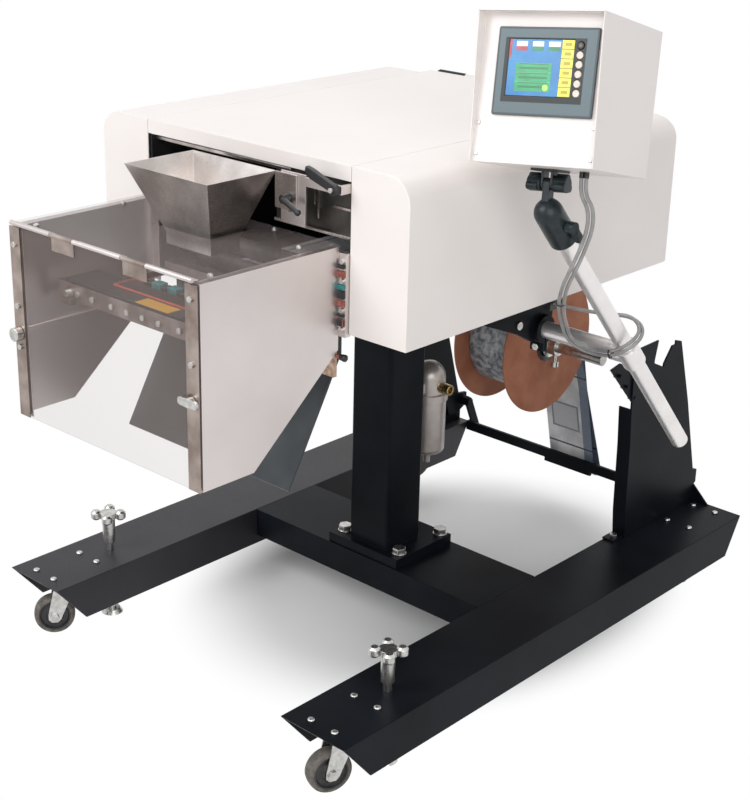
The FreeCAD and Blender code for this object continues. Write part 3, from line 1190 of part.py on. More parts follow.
def panel_box():
    """Operator box: case, visor, front sheet, bezel, tilt bracket, panel screws."""
    half_w = BOX_W / 2
    half_h = BOX_H / 2
    t = BOX_T
    front = SHEET_BACK
    case = block(-half_w, half_w, front, BOX_D, -half_h, half_h)
    case = case.cut(block(-half_w + t, half_w - t, front + t, BOX_D - t, -half_h + t, half_h - t))
    left = BEZEL_MID - BEZEL_W / 2
    right = BEZEL_MID + BEZEL_W / 2
    window = block(left + 8, right - 8, front - 1, front + t + 1, BEZEL_LOW + 8, BEZEL_LOW + BEZEL_H - 8)
    case = case.cut(window)
    top = block(-half_w, half_w, 0, front, half_h - t, half_h)
    cheeks = []
    for side in (1, -1):
        x0 = side * (half_w - t)
        x1 = side * half_w
        cheeks.append(side_plate([(front, half_h), (0, half_h), (front * 0.1, half_h - 40),
                                  (front * 0.7, -half_h), (front, -half_h)], x0, x1))
    case = case.fuse([top] + cheeks).removeSplitter()
    bezel = block(left, right, BEZEL_FACE, front, BEZEL_LOW, BEZEL_LOW + BEZEL_H)
    bezel = rounded(bezel, 3.0, lambda edge: along(edge, "y"))
    screen = block(SCREEN_LEFT, SCREEN_LEFT + SCREEN_W, BEZEL_FACE - 1, BEZEL_FACE + 1.5,
                   SCREEN_LOW, SCREEN_LOW + SCREEN_H)
    bezel = bezel.cut(screen)
    for x, z in key_places():
        bezel = bezel.cut(rod(V(x, BEZEL_FACE - 1, z), V(x, front + KEY_FLOOR, z), KEY_R + SEAT))
    pin = tilt_pin()
    base = block(pin.x - 24, pin.x + 24, pin.y - 22, pin.y + 22, -half_h - 4, -half_h)
    ears = []
    for side in (1, -1):
        inner = pin + V(side * (6 + SEAT), 0, 0)
        outer = pin + V(side * (6 + SEAT + 4), 0, 0)
        ears.append(block(inner.x, outer.x, pin.y - 10, pin.y + 10, pin.z, -half_h))
        ears.append(rod(inner, outer, 10))
    bracket = base.fuse(ears).removeSplitter()
    bracket = bracket.fuse(rod(pin - V(16, 0, 0), pin + V(16, 0, 0), 5)).removeSplitter()
    screws = []
    for x in (-half_w + 8, half_w - 8):
        for z in (-half_h + 12.5, -half_h + 60):
            screws.append(rod(V(x, front, z), V(x, front - 1.8, z), 3.2))
    glands = [rod(place, place + V(0, 0, GLAND_LENGTH), GLAND_R) for place in gland_places()]
    return placed([case, bezel, bracket] + screws + glands, box_place())


def key_places():
    """Middles of the keys on the bezel, from the top down, in the box frame."""
    x = BEZEL_MID + BEZEL_W / 2 - 29.0
    top = BEZEL_LOW + BEZEL_H - 26.5
    return [(x, top - KEY_PITCH * i) for i in range(KEY_COUNT)]


def panel_key(index):
    """One round key that slides into the bezel."""
    x, z = key_places()[index]
    key = rod(V(x, BEZEL_FACE - KEY_TRAVEL, z), V(x, SHEET_BACK + KEY_FLOOR - KEY_TRAVEL - 0.1, z), KEY_R)
    return placed([key], box_place())[0]


def tilt_knob(side):
    """Lobed black knob on the tilt pin."""
    pin = tilt_pin()
    start = pin + V(side * (6 + SEAT + 4 + SEAT), 0, 0)
    end = pin + V(side * 34, 0, 0)
    grip = rod(start, end, 13)
    lobes = []
    for i in range(3):
        angle = math.radians(90 + 120 * i)
        shift = V(0, 9.5 * math.cos(angle), 9.5 * math.sin(angle))
        lobes.append(rod(start + V(side * 4, 0, 0) + shift, end + shift, 7))
    knob = grip.fuse(lobes)
    knob = knob.cut(rod(pin, pin + V(side * 16.5, 0, 0), 5 + RUN))
    return placed([knob], box_place())[0]


def mast_knob():
    """Lever knob on the near side of the mast head."""
    base = V(MAST_HEAD_R + SEAT, 0, MAST_UP + 40)
    knob = rod(base, base + V(16, 0, 0), 10)
    lever = block(base.x + 6, base.x + 15, -7, 7, base.z - 34, base.z + 8)
    lever = rounded(lever, 4.0, lambda edge: along(edge, "x"))
    solid = knob.fuse(lever).removeSplitter()
    solid.Placement = mast_frame()
    return solid


def air_filter():
    """Filter with domed bowl, drain, ported head and a bracket to the column."""
    middle = V(FILTER_X, FILTER_Y, 0)
    up = V(0, 0, 1)
    bowl = rod(middle + up * FILTER_BOTTOM, middle + up * (FILTER_TOP - 60), FILTER_R)
    bowl = bowl.makeFillet(12, [bowl.Edges[i] for i in range(len(bowl.Edges))
                                if abs(bowl.Edges[i].BoundBox.ZMax - FILTER_BOTTOM) < 0.1])
    drain = rod(middle + up * (FILTER_BOTTOM - 24), middle + up * (FILTER_BOTTOM + 1), 7)
    collar = rod(middle + up * (FILTER_TOP - 60), middle + up * (FILTER_TOP - 44), FILTER_R + 3)
    head = rod(middle + up * (FILTER_TOP - 44), middle + up * (FILTER_TOP - 12), FILTER_R - 2)
    dome = Part.makeSphere(FILTER_R - 2, middle + up * (FILTER_TOP - 12))
    cut = block(-200, 200, -100, 300, 0, FILTER_TOP - 12)
    dome = dome.cut(cut)
    port_z = FILTER_TOP - 28
    ports = rod(V(FILTER_X - 48, FILTER_Y, port_z), V(FILTER_X + 56, FILTER_Y, port_z), 11)
    lug = block(FILTER_X - 14, FILTER_X + 14, COLUMN_MID_Y + COLUMN_SIZE / 2, FILTER_Y, port_z - 10, port_z + 10)
    top = head.fuse([collar, dome, ports, lug]).removeSplitter()
    port = rod(V(FILTER_X + 40, FILTER_Y, port_z), V(FILTER_X + 58, FILTER_Y, port_z), AIR_PORT_R)
    return [top.cut(port), bowl.fuse(drain).removeSplitter()]


def gland_places():
    """Lower ends of the two cable glands, in the box frame."""
    low = -BOX_H / 2 - GLAND_LENGTH
    return V(GLAND_X, GLAND_Y, low), V(GLAND_X + GLAND_GAP, GLAND_Y, low)


def cables():
    """Two cables from the box's glands past mast and arm to the clip under the head."""
    place = box_place()
    tubes = []
    for gland, route in zip(gland_places(), (CABLE_OUTER, CABLE_INNER)):
        lead = [place.multVec(gland), place.multVec(gland - V(0, 0, CABLE_LEAD))]
        tubes.append(cable(lead + list(route)))
    return tubes


def cable(points):
    """Cable tube of straight runs joined by tangent arcs."""
    edges = []
    start = points[0]
    for before, corner, after in zip(points, points[1:], points[2:]):
        run_in = corner - before
        run_out = after - corner
        turn = run_in.getAngle(run_out)
        short = min(run_in.Length, run_out.Length)
        radius = 0.45 * short / math.tan(turn / 2)
        trim = 0.45 * short
        first = corner - V(run_in).normalize() * trim
        last = corner + V(run_out).normalize() * trim
        bisector = (first + last) * 0.5 - corner
        depth = radius / math.cos(turn / 2) - radius
        middle = corner + bisector.normalize() * depth
        edges.append(Part.LineSegment(start, first).toShape())
        edges.append(Part.Arc(first, middle, last).toShape())
        start = last
    edges.append(Part.LineSegment(start, points[-1]).toShape())
    path = Part.Wire(edges)
    face = Part.Wire(Part.makeCircle(CABLE_R, points[0], points[1] - points[0]))
    return path.makePipeShell([face], True, False)


def build():
    """Make every node."""
    for side, name in ((1, "near"), (-1, "far")):
        keep("leg_" + name, leg(side))
        keep("upright_" + name, *upright(side))
        keep("side_cover_" + name, side_cover(side))
        keep("jack_" + name, *jack(side))
        keep("guard_knob_" + name, guard_knob(side))
        keep("tilt_knob_" + name, tilt_knob(side))
    keep("cross_beam", cross_beam())
    keep("column", *column())
    keep("base_bolts", *base_bolts())
    keep("caster_plates", *caster_plates())
    for name in CASTERS:
        fork, wheel = caster(name)
        keep("caster_fork_" + name, fork)
        keep("caster_wheel_" + name, *wheel)
    keep("head_chassis", *chassis())
    keep("top_cover", top_cover())
    low, high = feed_heights()
    keep("drive_roller", feed_roller(low))
    keep("nip_roller", feed_roller(high))
    keep("guard_sides", *guard_sides())
    keep("guard_top", guard_top())
    keep("guard_fittings", *guard_fittings())
    keep("guard_front", *guard_front())
    keep("seal_jaw", *seal_jaw())
    keep("seal_bar", *seal_bar())
    keep("chute", chute())
    keep("funnel", funnel())
    keep("funnel_bracket", funnel_bracket())
    keep("funnel_toggle", funnel_toggle())
    keep("funnel_clamp", funnel_clamp())
    keep("roll_hanger", *roll_hanger())
    spool, film = bag_roll()
    keep("bag_roll_flanges", spool)
    keep("bag_roll_film", film)
    keep("dancer_frame", dancer())
    keep("dancer_roller", loose_roller(V(0, DANCER_BAR_Y, DANCER_BAR_Z), ROLLER_R, DANCER_BAR_R))
    keep("infeed_roller", loose_roller(V(0, INFEED_Y, INFEED_Z), ROLLER_R, SHAFT_R))
    keep("film_web", film_web())
    keep("cables", *cables())
    keep("arm_bracket", *arm_bracket())
    keep("arm", arm())
    keep("mast", mast())
    keep("mast_head", mast_head())
    keep("mast_knob", mast_knob())
    keep("panel_box", *panel_box())
    for index in range(KEY_COUNT):
        keep("panel_key_%d" % (index + 1), panel_key(index))
    keep("air_filter", *air_filter())


build()
os.makedirs("parts", exist_ok=True)
for name, solids in PARTS.items():
    shape = solids[0] if len(solids) == 1 else Part.makeCompound(solids)
    shape.exportStep("parts/" + name + ".step")
    count = sum(len(solid.Solids) for solid in solids)
    valid = all(solid.isValid() for solid in solids)
    print(name, count, "solids", "valid" if valid else "NOT VALID", round(shape.Volume / 1000.0, 1), "cm3")
print(len(PARTS), "nodes")
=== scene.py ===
# Automatic bagging machine on a wheeled stand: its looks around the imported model, in metres.
# +Z is up, -Y is the front with guard and funnel, +X is the side of the operator box.
import bpy
import bmesh
import math
from mathutils import Matrix, Vector


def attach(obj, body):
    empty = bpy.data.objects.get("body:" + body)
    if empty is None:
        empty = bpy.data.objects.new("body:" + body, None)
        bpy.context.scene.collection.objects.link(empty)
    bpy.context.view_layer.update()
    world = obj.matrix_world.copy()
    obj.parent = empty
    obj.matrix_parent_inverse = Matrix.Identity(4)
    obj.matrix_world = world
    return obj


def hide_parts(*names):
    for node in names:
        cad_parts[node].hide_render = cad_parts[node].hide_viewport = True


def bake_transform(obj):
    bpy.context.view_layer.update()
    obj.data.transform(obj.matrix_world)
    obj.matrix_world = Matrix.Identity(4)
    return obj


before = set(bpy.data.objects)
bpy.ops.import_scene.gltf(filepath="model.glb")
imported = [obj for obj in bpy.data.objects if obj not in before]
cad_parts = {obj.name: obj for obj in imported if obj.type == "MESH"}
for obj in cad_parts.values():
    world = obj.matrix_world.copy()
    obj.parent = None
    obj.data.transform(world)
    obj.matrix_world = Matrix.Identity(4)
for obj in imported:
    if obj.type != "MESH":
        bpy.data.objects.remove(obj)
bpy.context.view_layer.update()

scene = bpy.context.scene

# Camera, at the photograph's place: a little above the head's top, in front and on the near side.
# Its angles are in radians, and the lens is for the long side of the picture.
yaw, pitch, roll = 0.7324, -0.3745, 0.0248
look = Vector((-math.sin(yaw) * math.cos(pitch), math.cos(yaw) * math.cos(pitch), math.sin(pitch)))
level = Vector((math.cos(yaw), math.sin(yaw), 0))
rise = level.cross(look)
right = math.cos(roll) * level + math.sin(roll) * rise
top = math.cos(roll) * rise - math.sin(roll) * level
camera = bpy.data.objects.new("camera", bpy.data.cameras.new("camera"))
camera.data.lens = 71.12
camera.data.sensor_width = 36.0
camera.rotation_euler = Matrix((right, top, -look)).transposed().to_euler()
camera.location = (1.9206, -2.1548, 1.5974)
scene.collection.objects.link(camera)
scene.camera = camera


# Operator cables: two grey sheathed leads from the box's glands, past mast and arm, to a clip
# under the head. They hang in open loops with two black ties. Their lower loops follow the arm
# and their upper run follows the mast.
crease = math.radians(38)
weld = 1e-6


def finish(name, deep, pale, size, gloss, metal=0.0, grain=900.0, relief=0.1, shine=0.5):
    """Finish of two tones in clouds of that size, with uneven gloss and a fine grain."""
    material = bpy.data.materials.new(name)
    material.use_nodes = True
    nodes, links = material.node_tree.nodes, material.node_tree.links
    shader = nodes["Principled BSDF"]
    shader.inputs["Metallic"].default_value = metal
    shader.inputs["Specular IOR Level"].default_value = shine
    place = nodes.new("ShaderNodeTexCoord")
    clouds = nodes.new("ShaderNodeTexNoise")
    clouds.inputs["Scale"].default_value = 1 / size
    clouds.inputs["Detail"].default_value = 4.0
    links.new(place.outputs["Object"], clouds.inputs["Vector"])
    tones = nodes.new("ShaderNodeValToRGB")
    for stop, position, colour in zip(tones.color_ramp.elements, (0.36, 0.64), (deep, pale)):
        stop.position = position
        stop.color = (*colour, 1)
    links.new(clouds.outputs["Fac"], tones.inputs["Fac"])
    links.new(tones.outputs["Color"], shader.inputs["Base Color"])
    speck = nodes.new("ShaderNodeTexNoise")
    speck.inputs["Scale"].default_value = grain
    speck.inputs["Detail"].default_value = 2.0
    links.new(place.outputs["Object"], speck.inputs["Vector"])
    polish = nodes.new("ShaderNodeMapRange")
    polish.inputs["From Min"].default_value = 0.3
    polish.inputs["From Max"].default_value = 0.7
    polish.inputs["To Min"].default_value = gloss[0]
    polish.inputs["To Max"].default_value = gloss[1]
    links.new(speck.outputs["Fac"], polish.inputs["Value"])
    links.new(polish.outputs["Result"], shader.inputs["Roughness"])
    bump = nodes.new("ShaderNodeBump")
    bump.inputs["Strength"].default_value = relief
    bump.inputs["Distance"].default_value = 0.0004
    links.new(speck.outputs["Fac"], bump.inputs["Height"])
    links.new(bump.outputs["Normal"], shader.inputs["Normal"])
    return material


def laid(material, middle, half, colour, turn=None, pitch=(0, 0, 0)):
    """Second colour inside a box of a finish, repeated at the pitch, in millimetres of a turned frame."""
    nodes, links = material.node_tree.nodes, material.node_tree.links
    base = nodes["Principled BSDF"].inputs["Base Color"]
    place = nodes.new("ShaderNodeTexCoord")
    own = nodes.new("ShaderNodeMapping")
    own.vector_type = "TEXTURE"
    own.inputs["Scale"].default_value = (0.001, 0.001, 0.001)
    if turn:
        own.inputs["Location"].default_value = turn.translation
        own.inputs["Rotation"].default_value = turn.to_euler()
    links.new(place.outputs["Object"], own.inputs["Vector"])
    step = nodes.new("ShaderNodeVectorMath")
    step.operation = "SUBTRACT"
    step.inputs[1].default_value = middle
    links.new(own.outputs["Vector"], step.inputs[0])
    again = nodes.new("ShaderNodeVectorMath")
    again.operation = "WRAP"
    again.inputs[1].default_value = [p / 2 if p else 1e5 for p in pitch]
    again.inputs[2].default_value = [-p / 2 if p else -1e5 for p in pitch]
    links.new(step.outputs["Vector"], again.inputs[0])
    away = nodes.new("ShaderNodeVectorMath")
    away.operation = "ABSOLUTE"
    links.new(again.outputs["Vector"], away.inputs[0])
    left = nodes.new("ShaderNodeVectorMath")
    left.operation = "SUBTRACT"
    left.inputs[0].default_value = half
    links.new(away.outputs["Vector"], left.inputs[1])
    parts = nodes.new("ShaderNodeSeparateXYZ")
    links.new(left.outputs["Vector"], parts.inputs["Vector"])
    least = parts.outputs["X"]
    for axis in ("Y", "Z"):
        lower = nodes.new("ShaderNodeMath")
        lower.operation = "MINIMUM"
        links.new(least, lower.inputs[0])
        links.new(parts.outputs[axis], lower.inputs[1])
        least = lower.outputs["Value"]
    inside = nodes.new("ShaderNodeMath")
    inside.operation = "GREATER_THAN"
    inside.inputs[1].default_value = 0.0
    links.new(least, inside.inputs[0])
    blend = nodes.new("ShaderNodeMixRGB")
    blend.inputs["Color2"].default_value = (*colour, 1)
    links.new(inside.outputs["Value"], blend.inputs["Fac"])
    links.new(base.links[0].from_socket, blend.inputs["Color1"])
    links.new(blend.outputs["Color"], base)


def shown(name, data, body, material):
    """Object that rides on a body, with one material in its first slot."""
    piece = bpy.data.objects.new(name, data)
    scene.collection.objects.link(piece)
    data.materials.append(material)
    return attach(piece, body)


def smooth_mesh(name, bm):
    """Mesh from a bmesh, smooth but for its sharp and open edges."""
    for face in bm.faces:
        face.smooth = True
    for edge in bm.edges:
        edge.smooth = edge.is_manifold and edge.calc_face_angle(0) < crease
    mesh = bpy.data.meshes.new(name)
    bm.to_mesh(mesh)
    bm.free()
    return mesh


sheath = finish("grey_sheath", (0.24, 0.235, 0.235), (0.31, 0.305, 0.30), 0.02, (0.32, 0.45), relief=0.06)
black_plastic = finish("black_plastic", (0.009, 0.010, 0.012), (0.017, 0.018, 0.021), 0.03, (0.24, 0.42),
                       grain=1400)
cable_routes = {
    "cable_outer": (0.8656, (
        (0.5376, -0.1496, 1.0267), (0.5405, -0.1553, 1.0036), (0.548, -0.140, 0.978), (0.544, -0.132, 0.944),
        (0.533, -0.133, 0.907), (0.517, -0.133, 0.870), (0.492, -0.117, 0.832), (0.458, -0.076, 0.786),
        (0.425, -0.022, 0.742), (0.404, 0.020, 0.708), (0.390, 0.050, 0.682), (0.391, 0.071, 0.662),
        (0.410, 0.082, 0.651), (0.440, 0.078, 0.653), (0.484, 0.055, 0.667), (0.520, 0.051, 0.688),
        (0.530, 0.080, 0.706), (0.514, 0.103, 0.721), (0.488, 0.100, 0.731), (0.460, 0.086, 0.731),
        (0.426, 0.078, 0.729), (0.390, 0.072, 0.728), (0.350, 0.072, 0.728))),
    "cable_inner": (0.8363, (
        (0.5459, -0.1483, 1.0274), (0.5488, -0.1541, 1.0043), (0.554, -0.135, 0.980), (0.550, -0.126, 0.943),
        (0.538, -0.127, 0.905), (0.523, -0.127, 0.868), (0.498, -0.112, 0.831), (0.465, -0.071, 0.786),
        (0.432, -0.018, 0.742), (0.411, 0.024, 0.709), (0.396, 0.053, 0.683), (0.399, 0.070, 0.668),
        (0.416, 0.082, 0.660), (0.441, 0.080, 0.661), (0.481, 0.056, 0.674), (0.514, 0.052, 0.693),
        (0.525, 0.076, 0.711), (0.512, 0.095, 0.724), (0.490, 0.095, 0.735), (0.463, 0.078, 0.734),
        (0.427, 0.070, 0.732), (0.391, 0.064, 0.731), (0.350, 0.064, 0.731))),
}
cable_radius = 0.0032
# A tie's half width and half depth round both leads, its strap's width and gauge, and its lock.
tie_half_width = 0.0079
tie_half_depth = 0.0041
strap_width = 0.0036
strap_gauge = 0.0009
lock_size = 0.0046
lock_place = (0.0012, -0.0058, 0)


def band(name, middle, along, across, body):
    """Black plastic tie pulled round two leads, with its square lock on one side."""
    along = Vector(along).normalized()
    across = (Vector(across) - along * Vector(across).dot(along)).normalized()
    turn = Matrix((across, along.cross(across), along)).transposed().to_4x4()
    turn.translation = middle
    bm = bmesh.new()
    bmesh.ops.create_circle(bm, segments=28, radius=1.0)
    bmesh.ops.scale(bm, vec=(tie_half_width, tie_half_depth, 1), verts=bm.verts)
    bmesh.ops.translate(bm, vec=(0, 0, -strap_width / 2), verts=bm.verts)
    made = bmesh.ops.extrude_edge_only(bm, edges=bm.edges[:])["geom"]
    rim = [item for item in made if isinstance(item, bmesh.types.BMVert)]
    bmesh.ops.translate(bm, vec=(0, 0, strap_width), verts=rim)
    bmesh.ops.recalc_face_normals(bm, faces=bm.faces)
    bmesh.ops.solidify(bm, geom=bm.faces[:], thickness=strap_gauge)
    lock = bmesh.ops.create_cube(bm, size=lock_size, matrix=Matrix.Translation(lock_place))
    sides = {edge for vert in lock["verts"] for edge in vert.link_edges}
    bmesh.ops.bevel(bm, geom=list(sides), offset=0.0006, offset_type="OFFSET", affect="EDGES", segments=2,
                    profile=0.5, material=-1)
    bmesh.ops.transform(bm, matrix=turn, verts=bm.verts)
    bmesh.ops.recalc_face_normals(bm, faces=bm.faces)
    tie = shown(name, smooth_mesh(name, bm), body, black_plastic)
    return tie


ties = [band("tie_upper", (0.4615, -0.0735, 0.786), (-67, 95, -90), (7, 5, 0), "mast"),
        band("tie_lower", (0.4825, 0.0555, 0.6705), (80, -27, 35), (-3, 1, 7), "arm")]
for name, (length, route) in cable_routes.items():
    curve = bpy.data.curves.new(name, "CURVE")
    curve.dimensions = "3D"
    line = curve.splines.new("NURBS")
    line.points.add(len(route) - 1)
    for point, spot in zip(line.points, route):
        point.co = (*spot, 1)
    line.order_u = 3
    line.use_endpoint_u = True
    drawn = bpy.data.objects.new(name + "_line", curve)
    scene.collection.objects.link(drawn)
    bpy.context.view_layer.update()
    thread = drawn.evaluated_get(bpy.context.evaluated_depsgraph_get()).to_mesh()
    curve.bevel_depth = cable_radius
    curve.bevel_resolution = 5
    curve.use_fill_caps = True
    bpy.context.view_layer.update()
    sleeve = bpy.data.meshes.new_from_object(drawn.evaluated_get(bpy.context.evaluated_depsgraph_get()))
    bpy.data.objects.remove(drawn)
    sleeve.name = name
    cable = bpy.data.objects.new(name, sleeve)
    scene.collection.objects.link(cable)
    sleeve.materials.clear()
    sleeve.materials.append(sheath)
    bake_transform(cable)
    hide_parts("cables")

# Stand: welded channel legs and cross beam in satin black enamel, and the square column bolted
# to the beam. The enamel is slightly pebbled, and the far leg has a paler copy of it with more shine: painted
# light on that leg.
black_enamel = finish("black_enamel", (0.0035, 0.0045, 0.0065), (0.008, 0.010, 0.014), 0.16, (0.3, 0.44),
                      grain=420, shine=0.07)
# Paler copy of the black enamel for the far leg: painted light, not a different coat.
painted_light_enamel = finish("painted_light_enamel", (0.014, 0.014, 0.018), (0.026, 0.025, 0.031), 0.22, (0.34, 0.5),
                     grain=420, shine=0.32)
zinc = finish("zinc_plate", (0.46, 0.455, 0.44), (0.64, 0.63, 0.61), 0.01, (0.2, 0.4), metal=1.0, grain=1500)


def dress(node, body, material, patches=(), edge=0.0006):
    """Copy of a CAD node with merged faces, softened edges and its finishes, in the node's place."""
    bm = bmesh.new()
    bm.from_mesh(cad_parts[node].data)
    bmesh.ops.remove_doubles(bm, verts=bm.verts, dist=weld)
    bmesh.ops.dissolve_limit(bm, angle_limit=math.radians(0.6), verts=bm.verts, edges=bm.edges)
    for face in bm.faces:
        face.smooth = True
        middle = face.calc_center_median() * 1000
        for index, (patch_coat, inside) in enumerate(patches, 1):
            if inside(middle):
                face.material_index = index
    for seam in bm.edges:
        seam.smooth = seam.is_manifold
    mesh = bpy.data.meshes.new(node + "_dressed")
    bm.to_mesh(mesh)
    bm.free()
    if "custom_normal" in mesh.attributes:
        mesh.attributes.remove(mesh.attributes["custom_normal"])
    piece = shown(node + "_dressed", mesh, body, material)
    for patch_coat, inside in patches:
        mesh.materials.append(patch_coat)
    if edge:
        soft = piece.modifiers.new("soft edges", "BEVEL")
        soft.limit_method = "ANGLE"
        soft.angle_limit = crease
        soft.width = edge
        soft.segments = 2
        soft.profile = 0.5
        soft.use_clamp_overlap = False
        soft.harden_normals = True
    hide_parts(node)


for node, coat in (("leg_near", black_enamel), ("leg_far", painted_light_enamel), ("cross_beam", black_enamel)):
    dress(node, "stand", coat, edge=0.0012)
dress("column", "stand", black_enamel, edge=0.0008)
dress("base_bolts", "stand", zinc, edge=0.0007)

# Casters: pressed zinc forks that swivel under bolted plates, and hard grey-brown tyres on
# moulded wheels. The tyre's tread is scuffed and dusty, and slightly crowned.
tyre_rubber = finish("scuffed_tyre", (0.085, 0.075, 0.067), (0.165, 0.148, 0.132), 0.012, (0.62, 0.85),
                     grain=260, relief=0.35)
wheel_plastic = finish("wheel_plastic", (0.016, 0.016, 0.017), (0.03, 0.03, 0.031), 0.01, (0.4, 0.55))
caster_trail = 0.028
wheel_axle_z = 0.040
casters = {
    "front_near": (0.377, -0.495, (-0.39, -0.92)),
    "front_far": (-0.377, -0.495, (-0.6, -0.8)),
    "rear_near": (0.377, 0.584, (0.2, -0.98)),
    "rear_far": (-0.377, 0.584, (-0.3, -0.95)),
}
# Outline of half the wheel's section: distance along the axle, and radius, in millimetres.
tyre_outline = ((-14.0, 31.0), (-14.4, 34.0), (-13.0, 37.2), (-10.5, 39.0), (-6.0, 39.8), (0.0, 40.0),
                (6.0, 39.8), (10.5, 39.0), (13.0, 37.2), (14.4, 34.0), (14.0, 31.0))
core_outline = ((-15.8, 6.4), (-15.8, 13.5), (-11.0, 17.0), (-9.8, 19.0), (-9.8, 26.0), (-11.5, 27.5),
                (-14.0, 28.5), (-14.2, 31.3), (14.2, 31.3), (14.0, 28.5), (11.5, 27.5), (9.8, 26.0),
                (9.8, 19.0), (11.0, 17.0), (15.8, 13.5), (15.8, 6.4))


def turned(bm, outline, centre, axis, steps, closed=True):
    """Outline of (along, radius) points in millimetres spun about an axis."""
    axis = Vector(axis).normalized()
    out = axis.orthogonal().normalized()
    ring = [bm.verts.new(centre + axis * (a / 1000) + out * (r / 1000)) for a, r in outline]
    pairs = list(zip(ring, ring[1:]))
    if closed:
        pairs.append((ring[-1], ring[0]))
    edges = [bm.edges.new(pair) for pair in pairs]
    bmesh.ops.spin(bm, geom=ring + edges, cent=centre, axis=axis, angle=math.tau, steps=steps, use_merge=True)


def coat_since(bm, count, index):
    """Material number for all faces of a bmesh that were added after that count."""
    bm.faces.ensure_lookup_table()
    for face in bm.faces[count:]:
        face.material_index = index


for name, (x, y, trail) in casters.items():
    heading = Vector((trail[0], trail[1], 0)).normalized()
    hub = Vector((x, y, 0)) + heading * caster_trail + Vector((0, 0, wheel_axle_z))
    axle = Vector((-heading.y, heading.x, 0))
    bm = bmesh.new()
    turned(bm, core_outline, hub, axle, 48)
    coat_since(bm, 0, 1)
    core_faces = len(bm.faces)
    turned(bm, tyre_outline, hub, axle, 64)
    coat_since(bm, core_faces, 0)
    bmesh.ops.remove_doubles(bm, verts=bm.verts, dist=weld)
    bmesh.ops.recalc_face_normals(bm, faces=bm.faces)
    node = "caster_wheel_" + name
    wheel = shown(node + "_turned", smooth_mesh("wheel", bm), node, tyre_rubber)
    wheel.data.materials.append(wheel_plastic)
    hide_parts(node)
    dress("caster_fork_" + name, "caster_fork_" + name, zinc, edge=0.0004)
dress("caster_plates", "stand", zinc, edge=0.0004)

# Levelling screws: steel screw rods with floor pads, and four-lobed hand knobs of grey cast iron.
# The knobs are as cast, with full fillets between lobes and hub, and a slight sandy skin.
cast_iron = finish("grey_casting", (0.17, 0.17, 0.165), (0.33, 0.325, 0.31), 0.009, (0.34, 0.55), metal=0.75,
                   grain=600, relief=0.45)


def cast(name, node, body, material, keep, voxel):
    """Remeshed and smoothed copy of a part of a CAD node, for shapes with cast fillets."""
    bm = bmesh.new()
    bm.from_mesh(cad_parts[node].data)
    bmesh.ops.remove_doubles(bm, verts=bm.verts, dist=weld)
    spare = [face for face in bm.faces if not keep(face.calc_center_median() * 1000)]
    bmesh.ops.delete(bm, geom=spare, context="FACES")
    mesh = smooth_mesh(name, bm)
    if "custom_normal" in mesh.attributes:
        mesh.attributes.remove(mesh.attributes["custom_normal"])
    piece = shown(name, mesh, body, material)
    remesh = piece.modifiers.new("skin", "REMESH")
    remesh.mode = "VOXEL"
    remesh.voxel_size = voxel
    remesh.use_smooth_shade = True
    ease = piece.modifiers.new("fillets", "SMOOTH")
    ease.factor = 0.5
    ease.iterations = 5
    return piece


for side in ("near", "far"):
    node = "jack_" + side
    cast(node + "_knob", node, node, cast_iron, lambda p: p.z > 157.5 and
         (p.z > 214 or math.hypot(abs(p.x) - 377, p.y + 388) > 8.5), 0.0009)
    dress(node, node, zinc, edge=0.0005)

# Rear uprights: notched black plates with a front flange, a foot gusset and a zinc-screwed bar.
# Each carries the dancer's pivot on a thick bracket.
bar_screws = ((389, 455), (359, 486), (331, 516))
for side in ("near", "far"):
    dress("upright_" + side, "stand", black_enamel, edge=0.0006,
          patches=[(zinc, lambda p: 145.2 < p.z < 176 and p.y < 392 and abs(abs(p.x) - 318) < 12),
                   (zinc, lambda p: abs(p.x) < 323.4 and p.y < 395 and p.z > 450 and
                    min(math.hypot(p.y - y, p.z - z) for y, z in bar_screws) < 6.6)])

# Head: a folded chassis between two white enamelled side covers and a hinged centre cover.
# The enamel is a warm white with a faint orange peel, and the chassis is dark inside.
white_enamel = finish("white_enamel", (0.785, 0.735, 0.71), (0.82, 0.775, 0.75), 0.45, (0.3, 0.4), grain=520,
                      relief=0.03)
dark_steel = finish("dark_steel", (0.014, 0.014, 0.015), (0.03, 0.029, 0.029), 0.06, (0.3, 0.45), metal=0.3,
                    shine=0.3)
stainless = finish("satin_stainless", (0.60, 0.55, 0.535), (0.69, 0.64, 0.625), 0.28, (0.3, 0.4), metal=1.0,
                   grain=1500, relief=0.02)
dress("side_cover_near", "stand", white_enamel, edge=0.0012)
dress("side_cover_far", "stand", white_enamel, edge=0.0012)
dress("top_cover", "lid", white_enamel, edge=0.001)
dress("head_chassis", "stand", dark_steel, edge=0.0005,
      patches=[(black_plastic, lambda p: p.x > 335 and p.z < 748)])
roller_rubber = finish("roller_rubber", (0.03, 0.028, 0.027), (0.055, 0.052, 0.05), 0.02, (0.5, 0.65))
for node in ("drive_roller", "nip_roller"):
    dress(node, node, roller_rubber, patches=[(zinc, lambda p: abs(p.x) > 181)])


def bar_of(bm, low, high, edge=0.0006, index=0):
    """Bevelled bar of that material number between two corners in millimetres, added to a bmesh."""
    count = len(bm.faces)
    low, high = Vector(low) / 1000, Vector(high) / 1000
    size = high - low
    fit = Matrix.Translation((low + high) / 2) @ Matrix.Diagonal((size.x, size.y, size.z, 1))
    made = bmesh.ops.create_cube(bm, size=1.0, matrix=fit)
    edges = {seam for vert in made["verts"] for seam in vert.link_edges}
    bmesh.ops.bevel(bm, geom=list(edges), offset=edge, offset_type="OFFSET", affect="EDGES", segments=2,
                    profile=0.5, material=-1)
    coat_since(bm, count, index)
